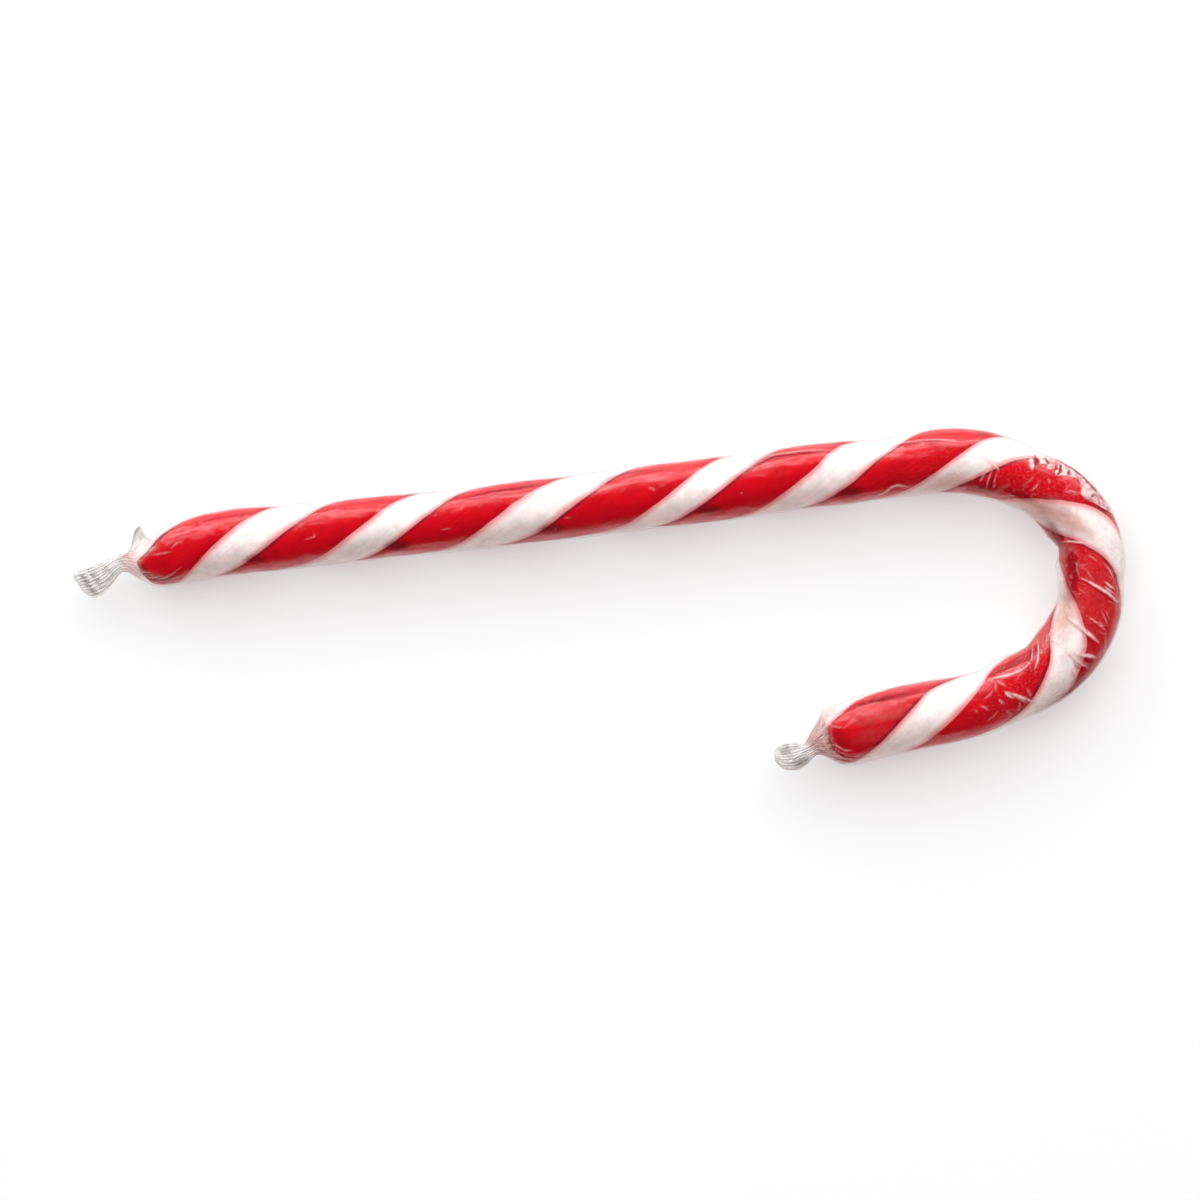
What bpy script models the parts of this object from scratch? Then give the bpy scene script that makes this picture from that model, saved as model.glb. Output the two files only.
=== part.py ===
"""A twisted red and white candy cane, wrapped in clear film that is gathered at both ends.

It lies flat: +X runs along the shaft towards the hook, +Y is the side away from the hook,
+Z is up, and the origin is the middle of the object's box on the surface it lies on.
"""

import math

import bmesh
import bpy
import numpy as np
from mathutils import Vector

MM = 0.001
WELD = 1e-6  # in metres, between a curve's caps and its sides
FLOOR_SLAB = (0.4, 0.4, 0.02)  # in metres

# The candy, in millimetres and degrees.
RED_RADIUS = 4.84  # the wide red strands stand a little prouder than the white ones
WHITE_RADIUS = 4.62
GROOVE_DEPTH = 0.16  # where a red strand meets a white one
GROOVE_WIDTH = 13.0  # how far to each side of its line a groove reaches, in degrees of the section
RED_ARC = 110.0  # share of the section that each of the two red strands takes
SHAFT_NOSE = 9.5  # length over which the shaft's end rounds off
HOOK_NOSE = 2.4  # and over which the hook's end does
BLUNT_SHARE = 0.3  # how wide each end's last ring is, as a share of the stick's radius
FLAT_DEPTH = 0.15  # how much is worn flat where the strands touch the surface below

# The middle line of the cane: the length of each stretch, and how far it turns to the left.
START_HEADING = 16.5
STRETCHES = (
    (16.1, -17.7),
    (19.1, 0.4),
    (42.0, 1.6),
    (36.7, -0.7),
    (18.5, -42.8),
    (8.8, -38.8),
    (22.3, -76.2),
    (13.6, -18.9),
    (5.0, 0.0),
    (11.0, 11.0),
)
EASE = 8.0  # length over which one stretch blends into the next
LINE_STEP = 0.25  # between samples of the middle line

# Where, along the middle line, a red strand faces straight up: half a turn of twist apart.
RED_ON_TOP = (6.2, 26.0, 46.0, 69.0, 89.2, 110.0, 127.8, 145.8, 166.2, 187.0)
TWIST_EASE = 12.0

# How finely the candy is divided.
RED_SIDES = 10
WHITE_SIDES = 6
RING_STEP = 2.1
NOSE_RINGS = 6

# The film. Each gathered end is drawn in the plane of the cane from the end of its middle
# line: how far out, how far to the left when looking out, and then which way it heads.
FILM_GAP = 0.35  # between the gathered film and the candy
BUNCH_SIDES = 32
BUNCH_RINGS = 10
SHAFT_PLEATS = 3.5
HOOK_PLEATS = 2.5
FIN_THICKNESS = 0.7
# Stations along a gather: out, left, heading, half width, half thickness, pleat depth.
SHAFT_BUNCH = (
    (-0.9, -0.4, -14.0, 2.6, 2.2, 0.0),
    (0.35, -1.1, -16.0, 1.95, 1.6, 0.0),
    (1.3, -1.55, -16.5, 1.23, 1.0, 0.05),
    (3.4, -1.3, -6.5, 1.6, 0.75, 0.3),
    (6.0, -0.6, 14.0, 2.1, 0.6, 0.55),
    (7.75, -0.45, 21.3, 2.48, 0.5, 0.65),
    (8.3, -0.2, 21.3, 2.0, 0.42, 0.5),
    (8.6, -0.1, 21.3, 1.2, 0.35, 0.3),
)
HOOK_BUNCH = (
    (-0.9, 0.1, 2.0, 4.3, 4.1, 0.0),
    (0.2, 0.2, 3.0, 3.85, 3.4, 0.0),
    (1.2, 0.1, 9.0, 2.95, 2.3, 0.0),
    (3.3, 0.25, 24.0, 1.16, 1.0, 0.0),
    (4.6, 0.35, 14.0, 1.75, 1.2, 0.25),
    (6.2, 0.4, 2.0, 2.1, 1.25, 0.4),
    (7.6, -0.15, -10.0, 1.7, 0.95, 0.35),
    (8.4, -0.6, -12.0, 0.8, 0.6, 0.2),
)
# The loose flaps beside the gathers, as outlines of points out and left.
SHAFT_EAR = (
    (1.3, -1.3),
    (0.95, -2.5),
    (-0.25, -3.2),
    (-0.9, -4.3),
    (-1.65, -5.2),
    (-2.2, -5.5),
    (-2.6, -5.3),
    (-2.65, -4.7),
    (-2.55, -3.9),
    (-2.2, -2.0),
    (0.3, -1.0),
)
HOOK_SHOULDER = (
    (3.3, -0.1),
    (2.75, -1.9),
    (1.05, -2.9),
    (0.15, -3.7),
    (-0.3, -4.4),
    (-0.7, -4.55),
    (-1.2, -4.3),
    (-1.6, -2.0),
    (1.0, 0.6),
)

RED = (0.62, 0.012, 0.018)
FILM_GREY = (0.86, 0.85, 0.84)


def new_collection(name):
    collection = bpy.data.collections.new(name)
    bpy.context.scene.collection.children.link(collection)
    return collection


def plain_material(name, colour, roughness):
    material = bpy.data.materials.new(name)
    material.use_nodes = True
    shader = material.node_tree.nodes["Principled BSDF"]
    shader.inputs["Base Color"].default_value = (*colour, 1.0)
    shader.inputs["Roughness"].default_value = roughness
    shader.inputs["Metallic"].default_value = 0.0
    return material


def add_object(name, data, collection):
    made = bpy.data.objects.new(name, data)
    collection.objects.link(made)
    return made


def make_cutter(made):
    made.hide_render = True
    made.display_type = "WIRE"
    return made


def meshed(name, curve_object, collection):
    """The curve made a closed mesh object of the given name; the curve is removed."""
    graph = bpy.context.evaluated_depsgraph_get()
    mesh = bpy.data.meshes.new_from_object(curve_object.evaluated_get(graph), depsgraph=graph)
    mesh.name = name
    made = add_object(name, mesh, collection)
    made.matrix_world = curve_object.matrix_world
    bpy.data.objects.remove(curve_object)
    bm = bmesh.new()
    bm.from_mesh(mesh)
    bmesh.ops.remove_doubles(bm, verts=bm.verts, dist=WELD)
    bmesh.ops.recalc_face_normals(bm, faces=bm.faces)
    bm.to_mesh(mesh)
    bm.free()
    mesh.shade_smooth()
    return made


def floor_cutter(collection):
    """A slab below the surface that the cane lies on."""
    bm = bmesh.new()
    bmesh.ops.create_cube(bm, size=1.0)
    bmesh.ops.scale(bm, verts=bm.verts, vec=FLOOR_SLAB)
    bmesh.ops.translate(bm, verts=bm.verts, vec=(0.0, 0.0, -FLOOR_SLAB[2] / 2))
    mesh = bpy.data.meshes.new("floor")
    bm.to_mesh(mesh)
    bm.free()
    return add_object("floor", mesh, collection)


# --- the middle line -------------------------------------------------------------------


def eased(values, length):
    """Samples of the line averaged over the given length, with the ends held."""
    window = np.hanning(int(length / LINE_STEP) | 1)
    half = len(window) // 2
    padded = np.pad(values, half, mode="reflect", reflect_type="odd")
    return np.convolve(padded, window / window.sum(), mode="valid")


def middle_line():
    """Fine samples along the cane: distance, X, Y and heading, in mm and radians."""
    total = sum(length for length, _ in STRETCHES)
    distance = np.arange(0.0, total + LINE_STEP / 2, LINE_STEP)
    knots = np.cumsum([0.0] + [length for length, _ in STRETCHES])
    headings = np.cumsum([START_HEADING] + [turn for _, turn in STRETCHES])
    heading = eased(np.radians(np.interp(distance, knots, headings)), EASE)
    middles = (heading[1:] + heading[:-1]) / 2
    x = np.concatenate([[0.0], np.cumsum(np.cos(middles) * LINE_STEP)])
    y = np.concatenate([[0.0], np.cumsum(np.sin(middles) * LINE_STEP)])
    return distance, x, y, heading


def twist_at(distance):
    """How far the section has turned, in radians: whole half turns where red is on top."""
    fine = np.arange(RED_ON_TOP[0], RED_ON_TOP[-1], LINE_STEP)
    half_turns = np.interp(fine, RED_ON_TOP, range(len(RED_ON_TOP)))
    smooth = eased(half_turns, TWIST_EASE)
    first_rate = (smooth[1] - smooth[0]) / LINE_STEP
    last_rate = (smooth[-1] - smooth[-2]) / LINE_STEP
    before = np.minimum(distance - fine[0], 0.0) * first_rate
    after = np.maximum(distance - fine[-1], 0.0) * last_rate
    return math.pi * (np.interp(distance, fine, smooth) + before + after)


def nose_share(distance, total):
    """The radius as a share of the stick's, rounding off at both ends."""
    share = np.ones_like(distance)
    for inward, nose in ((distance, SHAFT_NOSE), (total - distance, HOOK_NOSE)):
        open_share = np.clip(1.0 - inward / nose, 0.0, 1.0)
        share = np.minimum(share, np.sqrt(1.0 - open_share**2))
    return np.maximum(share, BLUNT_SHARE)


def ring_distances(total):
    """Distances of the candy's rings, closer together where the ends round off."""
    angles = np.linspace(0.0, math.pi / 2, NOSE_RINGS + 1)
    shaft_end = SHAFT_NOSE * (1.0 - np.cos(angles))
    hook_end = total - HOOK_NOSE * (1.0 - np.cos(angles))
    count = round((hook_end[-1] - shaft_end[-1]) / RING_STEP)
    body = np.linspace(shaft_end[-1], hook_end[-1], count + 1)
    return np.concatenate([shaft_end[:-1], body, hook_end[-2::-1]])


# --- the candy -------------------------------------------------------------------------


def section_radius(angle):
    """Radius of the four-stranded section; the red strands are centred on 0 and 180 degrees."""
    across = (angle + 90.0) % 180.0 - 90.0
    radius = WHITE_RADIUS + (RED_RADIUS - WHITE_RADIUS) * math.cos(math.radians(across)) ** 2
    from_groove = abs(abs(across) - RED_ARC / 2) / GROOVE_WIDTH
    return radius - GROOVE_DEPTH * math.exp(-from_groove**2)


def section_angles():
    """Angles of the section's points, with a point in each groove."""
    white_arc = 180.0 - RED_ARC
    angles = []
    for start in (-RED_ARC / 2, 180.0 - RED_ARC / 2):
        angles += list(start + np.arange(RED_SIDES) * RED_ARC / RED_SIDES)
        angles += list(start + RED_ARC + np.arange(WHITE_SIDES) * white_arc / WHITE_SIDES)
    return angles


def section_curve(name, extra, collection):
    """The closed outline that is swept along the cane."""
    curve = bpy.data.curves.new(name, "CURVE")
    curve.dimensions = "2D"
    spline = curve.splines.new("POLY")
    angles = section_angles()
    spline.points.add(len(angles) - 1)
    for point, angle in zip(spline.points, angles):
        radius = section_radius(angle) + extra
        turn = math.radians(angle)
        point.co = (radius * MM * math.sin(turn), radius * MM * math.cos(turn), 0.0, 1.0)
    spline.use_cyclic_u = True
    return make_cutter(add_object(name, curve, collection))


def swept_cane(name, extra, cutters, collection):
    """The cane as a mesh, grown by extra millimetres all over."""
    curve = bpy.data.curves.new(name + "_line", "CURVE")
    curve.dimensions = "3D"
    curve.twist_mode = "Z_UP"
    curve.bevel_mode = "OBJECT"
    curve.bevel_object = section_curve(name + "_section", extra, cutters)
    curve.use_fill_caps = True
    fine, x, y, heading = middle_line()
    total = fine[-1]
    rings = ring_distances(total)
    share = nose_share(rings, total)
    tilt = twist_at(rings)
    ring_x = np.interp(rings, fine, x)
    ring_y = np.interp(rings, fine, y)
    # Growing the ends moves the first and the last ring out along the line.
    ring_x[0] -= extra * math.cos(heading[0])
    ring_y[0] -= extra * math.sin(heading[0])
    ring_x[-1] += extra * math.cos(heading[-1])
    ring_y[-1] += extra * math.sin(heading[-1])
    spline = curve.splines.new("POLY")
    spline.points.add(len(rings) - 1)
    for i, point in enumerate(spline.points):
        point.co = (ring_x[i] * MM, ring_y[i] * MM, (RED_RADIUS - FLAT_DEPTH) * MM, 1.0)
        point.radius = share[i]
        point.tilt = -tilt[i]  # the strands wind to the left
    return meshed(name, add_object(name + "_line", curve, collection), collection)


# --- the gathered film -----------------------------------------------------------------


def end_frame(at_hook):
    """Origin, outward direction and the direction to its left, at one end of the middle line."""
    _, x, y, heading = middle_line()
    i = -1 if at_hook else 0
    out = Vector((math.cos(heading[i]), math.sin(heading[i]), 0.0))
    if not at_hook:
        out.negate()
    left = Vector((-out.y, out.x, 0.0))
    return Vector((x[i], y[i], RED_RADIUS - FLAT_DEPTH)), out, left


def film_bunch(name, at_hook, stations, pleats, collection):
    """A gather: a round neck that spreads into a pleated, flattened end."""
    origin, out, left = end_frame(at_hook)
    table = np.array(stations)
    steps = np.hypot(np.diff(table[:, 0]), np.diff(table[:, 1]))
    travel = np.concatenate([[0.0], np.cumsum(steps)])
    bm = bmesh.new()
    bmesh.ops.create_cone(
        bm, cap_ends=True, segments=BUNCH_SIDES, radius1=1.0, radius2=1.0, depth=1.0
    )
    upright = [edge for edge in bm.edges if abs(edge.verts[0].co.z - edge.verts[1].co.z) > 0.5]
    bmesh.ops.subdivide_edges(bm, edges=upright, cuts=BUNCH_RINGS, use_grid_fill=True)
    for vert in bm.verts:
        at = (vert.co.z + 0.5) * travel[-1]
        middle_out, middle_left, heading, wide, thick, pleat = (
            np.interp(at, travel, column) for column in table.T
        )
        across = wide * vert.co.x
        up = thick * vert.co.y + pleat * math.cos(pleats * math.pi * vert.co.x)
        turn = math.radians(heading)
        place = origin + out * (middle_out - across * math.sin(turn))
        place += left * (middle_left + across * math.cos(turn))
        place.z += up
        vert.co = place * MM
    bmesh.ops.recalc_face_normals(bm, faces=bm.faces)
    mesh = bpy.data.meshes.new(name)
    bm.to_mesh(mesh)
    bm.free()
    mesh.shade_smooth()
    return add_object(name, mesh, collection)


def film_fin(name, at_hook, outline, collection):
    """A flat flap of film standing beside a gather."""
    origin, out, left = end_frame(at_hook)
    curve = bpy.data.curves.new(name, "CURVE")
    curve.dimensions = "2D"
    curve.fill_mode = "BOTH"
    curve.extrude = FIN_THICKNESS / 2 * MM
    spline = curve.splines.new("POLY")
    spline.points.add(len(outline) - 1)
    for point, (far, side) in zip(spline.points, outline):
        place = (origin + out * far + left * side) * MM
        point.co = (place.x, place.y, 0.0, 1.0)
    spline.use_cyclic_u = True
    flat = add_object(name + "_outline", curve, collection)
    flat.location.z = origin.z * MM
    return meshed(name, flat, collection)


def apply_boolean(target, other, operation):
    modifier = target.modifiers.new(operation.lower() + "_" + other.name, "BOOLEAN")
    modifier.operation = operation
    modifier.solver = "EXACT"
    modifier.object = other


def place_on_origin(parts, cutters):
    """Parents everything to an empty that puts the box's bottom centre on the origin."""
    graph = bpy.context.evaluated_depsgraph_get()
    corners = [
        Vector(corner) for made in parts.objects for corner in made.evaluated_get(graph).bound_box
    ]
    low_x, high_x = min(c.x for c in corners), max(c.x for c in corners)
    low_y, high_y = min(c.y for c in corners), max(c.y for c in corners)
    children = list(parts.objects) + list(cutters.objects)
    stand = add_object("cane_stand", None, parts)
    for child in children:
        child.parent = stand
    stand.location = (-(low_x + high_x) / 2, -(low_y + high_y) / 2, 0.0)


def main():
    for old in list(bpy.data.objects):
        bpy.data.objects.remove(old)
    parts = new_collection("candy_cane_in_film")
    cutters = new_collection("cutters")
    candy = swept_cane("candy_cane", 0.0, cutters, parts)
    candy.data.materials.append(plain_material("boiled_sugar", RED, 0.3))
    apply_boolean(candy, make_cutter(floor_cutter(cutters)), "DIFFERENCE")
    room = make_cutter(swept_cane("room_for_candy", FILM_GAP, cutters, cutters))
    film = plain_material("clear_film", FILM_GREY, 0.15)
    for name, at_hook, stations, pleats, outline in (
        ("film_end_shaft", False, SHAFT_BUNCH, SHAFT_PLEATS, SHAFT_EAR),
        ("film_end_hook", True, HOOK_BUNCH, HOOK_PLEATS, HOOK_SHOULDER),
    ):
        bunch = film_bunch(name, at_hook, stations, pleats, parts)
        fin = make_cutter(film_fin(name + "_flap", at_hook, outline, cutters))
        apply_boolean(bunch, fin, "UNION")
        apply_boolean(bunch, room, "DIFFERENCE")
        bunch.data.materials.append(film)
    place_on_origin(parts, cutters)


main()
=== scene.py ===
"""A twisted red and white candy cane in clear film, laid out as a Blender add-on.

The candy is one swept stick whose faces follow its strands. The film is one closed skin around
it, gathered at both ends, with its creases, puffs and pleats in the mesh.
"""

import math

import bmesh
import bpy
import numpy as np
from bpy.props import FloatProperty, FloatVectorProperty, PointerProperty
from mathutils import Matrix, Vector, noise


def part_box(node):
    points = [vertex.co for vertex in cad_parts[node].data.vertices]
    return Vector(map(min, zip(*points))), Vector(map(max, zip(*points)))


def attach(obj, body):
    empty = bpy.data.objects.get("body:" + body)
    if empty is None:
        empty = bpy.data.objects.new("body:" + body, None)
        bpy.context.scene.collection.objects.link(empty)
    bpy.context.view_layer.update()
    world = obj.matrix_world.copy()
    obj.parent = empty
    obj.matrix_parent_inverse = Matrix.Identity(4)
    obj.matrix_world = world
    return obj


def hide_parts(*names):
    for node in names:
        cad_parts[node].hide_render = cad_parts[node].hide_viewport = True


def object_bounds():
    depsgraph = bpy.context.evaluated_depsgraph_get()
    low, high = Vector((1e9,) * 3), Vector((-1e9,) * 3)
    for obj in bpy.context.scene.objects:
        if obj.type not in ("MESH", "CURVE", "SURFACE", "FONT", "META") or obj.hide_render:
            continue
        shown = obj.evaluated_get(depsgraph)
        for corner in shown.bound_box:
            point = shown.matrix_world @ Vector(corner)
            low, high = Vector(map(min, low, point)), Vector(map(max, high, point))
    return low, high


bl_info = {
    "name": "Wrapped candy cane",
    "version": (1, 0, 0),
    "blender": (4, 5, 0),
    "location": "3D View > Sidebar > Candy Cane",
    "description": "Makes a twisted candy cane wrapped in clear film, and a plain studio",
    "category": "Add Mesh",
}

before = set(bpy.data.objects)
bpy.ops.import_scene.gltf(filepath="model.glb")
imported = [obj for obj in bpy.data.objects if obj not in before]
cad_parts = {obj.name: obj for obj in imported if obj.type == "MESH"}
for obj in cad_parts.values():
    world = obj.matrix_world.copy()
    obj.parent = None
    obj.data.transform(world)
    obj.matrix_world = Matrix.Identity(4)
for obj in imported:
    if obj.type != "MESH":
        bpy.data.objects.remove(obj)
CAD_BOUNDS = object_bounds()

MM = 0.001
HALF_TURN = math.pi

# --- sizes of the cane, in millimetres and degrees ---

# The middle line: the length of each stretch, and how far it turns to the left.
START_HEADING = 16.5
STRETCHES = (
    (16.1, -17.7), (19.1, 0.4), (42.0, 1.6), (36.7, -0.7), (18.5, -42.8), (8.8, -38.8),
    (22.3, -76.2), (13.6, -18.9), (5.0, 0.0), (11.0, 11.0),
)  # fmt: skip
LINE_EASE = 8.0  # length over which one stretch blends into the next
LINE_STEP = 0.25  # between the points where the line is worked out
LINE_START = (-69.469, 16.070)  # from the middle of the candy's box
LINE_HEIGHT = 4.69  # of the middle line above the surface

# The two edges of the red strands: distance along the middle line, and the angle round the
# stick that the edge has reached there, in degrees from the top. The strands keep to an even
# twist where they cross the underside.
UPPER_EDGES = (
    (-0.7, 22), (1.2, 39), (3.9, 56), (5.7, 59), (7.5, 69), (15.3, 129), (18.9, 163), (22.8, 197),
    (26.7, 231), (34.9, 304), (38.6, 342), (42.6, 379), (46.5, 416), (56.9, 486), (60.6, 522),
    (65.0, 558), (69.1, 591), (78.0, 668), (82.3, 703), (86.5, 738), (90.2, 772), (98.7, 845),
    (102.8, 882), (106.4, 919), (110.5, 955), (118.0, 1027), (121.7, 1062), (124.8, 1097),
    (128.3, 1139), (137.8, 1210), (140.4, 1241), (142.9, 1277), (146.0, 1313), (156.9, 1391),
    (159.4, 1423), (163.2, 1457), (167.0, 1492), (178.5, 1571), (181.2, 1603), (184.7, 1636),
    (188.5, 1669), (193.3, 1708), (197.3, 1742),
)  # fmt: skip
LOWER_EDGES = (
    (-0.9, -96), (1.6, -92), (4.5, -86), (6.0, -58), (9.6, -19), (13.6, 16), (17.2, 49),
    (18.5, 64), (20.2, 82), (22.8, 105), (26.2, 129), (29.7, 162), (33.8, 197), (37.5, 233),
    (38.8, 246), (40.2, 262), (42.6, 284), (46.0, 307), (50.0, 342), (54.1, 378), (58.7, 413),
    (60.0, 426), (61.8, 442), (65.2, 464), (69.9, 487), (74.1, 522), (78.3, 558), (81.9, 593),
    (83.2, 606), (84.6, 622), (86.8, 645), (89.5, 669), (93.4, 702), (97.4, 737), (100.1, 771),
    (101.5, 786), (103.2, 802), (106.3, 824), (110.2, 846), (114.5, 882), (118.2, 917),
    (120.7, 949), (121.9, 964), (123.1, 982), (125.0, 1004), (127.2, 1027), (131.7, 1062),
    (135.3, 1097), (137.8, 1129), (139.1, 1144), (140.8, 1162), (144.2, 1186), (148.1, 1210),
    (151.1, 1242), (154.0, 1275), (155.6, 1288), (157.8, 1299), (159.0, 1313), (160.4, 1328),
    (162.6, 1347), (165.6, 1366), (169.0, 1387), (171.9, 1421), (175.8, 1457), (179.2, 1489),
    (180.5, 1503), (182.2, 1517), (184.8, 1533), (188.3, 1550), (189.7, 1565), (191.5, 1578),
    (194.1, 1594), (197.1, 1616),
)  # fmt: skip
EDGE_EASE = 3.0  # length over which their corners are rounded

RED_SHARE = 0.61  # of the half turn that one red and one white strand take together
BULGE_POWER = 0.7  # how square the back of a red strand is: 1 for a plain wave
RED_COLUMNS = 30
WHITE_COLUMNS = 18
GROOVE_REACH = 0.05  # of the line between two strands, as a share of the half turn

# Where each mesh has its rings: from where to where along, and how far apart.
CANDY_RINGS = (
    (0.2, 0.7, 0.05), (0.7, 8.0, 0.25), (8.0, 186.0, 0.4), (186.0, 193.4, 0.25),
    (193.4, 194.2, 0.08),
)  # fmt: skip
CANDY_NOSE = 1.1  # length over which each end of the candy rounds off
CANDY_FLOOR = 0.06  # height that the underside of the candy is flattened to
SIDE_FULLNESS = (0.05, 0.08)  # how much fuller its sides are: all round, and whites besides

# Stations along the film's ends: distance along the line, how far to the left of it, how far
# the section leans, half width, half thickness and pleat depth.
SHAFT_END = (
    (-8.6, 0.95, 15.0, 1.25, 0.10, 0.06),
    (-8.35, 0.82, 16.0, 1.95, 0.20, 0.12),
    (-7.9, 0.72, 17.0, 2.38, 0.34, 0.18),
    (-7.0, 0.62, 17.0, 2.32, 0.50, 0.22),
    (-5.6, 0.80, 14.0, 2.02, 0.62, 0.20),
    (-4.2, 1.08, 8.0, 1.68, 0.72, 0.16),
    (-3.0, 1.45, -2.0, 1.44, 0.84, 0.10),
    (-2.1, 1.62, -10.0, 1.25, 0.98, 0.06),
    (-1.3, 1.50, -15.0, 1.24, 1.10, 0.03),
    (-0.6, 1.05, -14.0, 1.55, 1.45, 0.0),
    (0.0, 0.42, -9.0, 1.98, 1.95, 0.0),
    (1.0, -0.22, -4.0, 2.52, 2.50, 0.0),
    (2.0, -0.45, -1.0, 2.98, 2.98, 0.0),
    (3.0, -0.38, 0.0, 3.40, 3.40, 0.0),
    (4.0, -0.18, 0.0, 3.80, 3.80, 0.0),
    (5.0, -0.02, 0.0, 4.12, 4.12, 0.0),
    (6.5, 0.05, 0.0, 4.38, 4.38, 0.0),
    (8.5, 0.10, 0.0, 4.56, 4.56, 0.0),
    (11.0, 0.12, 0.0, 4.66, 4.66, 0.0),
    (15.0, 0.06, 0.0, 4.72, 4.72, 0.0),
    (20.0, 0.0, 0.0, 4.74, 4.74, 0.0),
)
HOOK_END = (
    (180.0, 0.0, 0.0, 4.74, 4.74, 0.0),
    (186.0, 0.08, 0.0, 4.70, 4.70, 0.0),
    (189.0, 0.12, 0.0, 4.58, 4.58, 0.0),
    (191.0, 0.14, 0.0, 4.40, 4.38, 0.0),
    (192.2, 0.13, 0.0, 4.26, 4.15, 0.0),
    (193.1, 0.12, 1.0, 3.88, 3.70, 0.0),
    (194.0, 0.15, 4.0, 3.08, 2.80, 0.02),
    (194.9, 0.08, 9.0, 2.28, 2.00, 0.04),
    (195.7, 0.05, 16.0, 1.62, 1.40, 0.05),
    (196.4, 0.24, 24.0, 1.17, 1.05, 0.06),
    (197.1, 0.33, 19.0, 1.40, 1.10, 0.10),
    (198.0, 0.38, 12.0, 1.82, 1.22, 0.16),
    (199.3, 0.36, 2.0, 2.12, 1.26, 0.20),
    (200.5, 0.05, -7.0, 1.92, 1.08, 0.18),
    (201.3, -0.30, -11.0, 1.36, 0.72, 0.14),
    (201.7, -0.50, -12.0, 0.62, 0.34, 0.06),
)
STATION_EASE = 1.2  # length over which one station blends into the next
STATION_STEP = 0.05
FILM_RADIUS = 4.74
THINNEST = 0.05  # half thickness that the film never goes below
FILM_FLOOR = 0.02
FILM_RINGS = (
    (-8.6, -0.6, 0.2), (-0.6, 3.4, 0.11), (3.4, 20.0, 0.35), (20.0, 24.2, 0.6),
    (24.2, 26.4, 0.22), (26.4, 43.6, 0.6), (43.6, 47.7, 0.25), (47.7, 59.2, 0.6),
    (59.2, 62.6, 0.25), (62.6, 73.4, 0.6), (73.4, 74.8, 0.22), (74.8, 80.2, 0.6),
    (80.2, 82.8, 0.3), (82.8, 86.2, 0.6), (86.2, 87.0, 0.22), (87.0, 103.0, 0.6),
    (103.0, 111.0, 0.25), (111.0, 117.0, 0.6), (117.0, 172.5, 0.19), (172.5, 188.0, 0.4),
    (188.0, 197.0, 0.2), (197.0, 201.7, 0.15),
)  # fmt: skip
TOP_COLUMNS = 92
BOTTOM_COLUMNS = 34

# Pleats across a bunched end: how many, how fast they turn along it, and how deep they are.
PLEAT_COUNT = 9
PLEAT_TWIST = 0.3
PLEAT_SHARE = 0.6
PLEAT_SWING = 1.4
PLEAT_LIMITS = (0.1, 1.4)

# Loose folds that stand out sideways: distance and height, and how thick the fold is in degrees.
EAR = (
    (-0.9, 0.0), (-0.3, 0.5), (0.2, 1.1), (0.7, 1.85), (1.15, 2.45), (1.5, 2.78), (1.9, 2.88),
    (2.35, 2.84), (2.47, 2.0), (2.58, 1.1), (2.85, 0.45), (3.4, 0.0),
)  # fmt: skip
SHOULDER = (
    (191.6, 0.0), (192.4, 0.3), (192.8, 0.62), (193.1, 0.35), (193.8, 0.1), (195.0, 0.0),
)  # fmt: skip
EAR_SPREAD = 11.0
SHOULDER_SPREAD = 20.0
EAR_START = 0.5  # how far out the ear no longer has candy under it
# The ear's rim is drawn darker with painted shade: how wide in degrees, and how dark.
EAR_RIM = 5.5
EAR_RIM_SHADE = 0.5
EAR_HAZE = 0.55

# Fine folds that run into the two necks: distance and depth.
GATHERS = (
    (-2.4, 0.0), (-1.2, 0.07), (-0.2, 0.05), (1.0, 0.01), (2.5, 0.0), (190.0, 0.0),
    (193.0, 0.015), (194.7, 0.07), (196.4, 0.06), (197.4, 0.0),
)  # fmt: skip
GATHER_COUNT = 17
GATHER_SWAY = 1.5  # how far they crowd together at the sides
GATHER_TWIST = 0.35  # how fast they turn along the neck

# Streaky film, drawn tight over both ends of the candy and hazy inside the bend, tinted pink with a
# painted reflection of the red candy; the two bands inside the bend lay painted shade on the lower
# side of the bend: width, share, points.
COLLARS = (
    (0.50, 0.90, ((-0.6, 1.0), (0.15, -0.1), (0.85, -1.25), (1.9, -2.35), (3.3, -3.0),
                  (5.4, -3.2))),
    (0.30, 0.45, ((-0.2, 1.6), (1.2, 1.7), (3.0, 2.6), (5.2, 3.7))),
    (0.45, 0.72, ((192.2, 3.6), (193.6, 2.3), (194.0, 0.6), (193.7, -1.2), (193.0, -2.6))),
    (1.05, 0.36, ((130.0, -3.2), (133.5, -2.2), (136.5, -1.1), (139.4, 0.3))),
    (0.90, 0.28, ((148.0, -3.7), (151.5, -2.9), (155.0, -1.9))),
)  # fmt: skip

# How cloudy the film is where it is bunched up: distance and share.
BUNCHED = (
    (-8.9, 0.66), (-6.0, 0.72), (-3.0, 0.76), (-1.4, 0.70), (-0.4, 0.56), (0.5, 0.28), (1.6, 0.0),
    (192.2, 0.0), (193.1, 0.24), (194.0, 0.72), (194.9, 0.92), (196.0, 0.95), (197.2, 0.78),
    (199.0, 0.74), (202.0, 0.66),
)  # fmt: skip

# Where the bunched film has no candy near it, so none of the painted pink reflection of the candy:
# distance and share.
AWAY_FROM_CANDY = ((-2.2, 1.0), (-0.8, 0.0), (195.6, 0.0), (197.2, 1.0))

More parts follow.
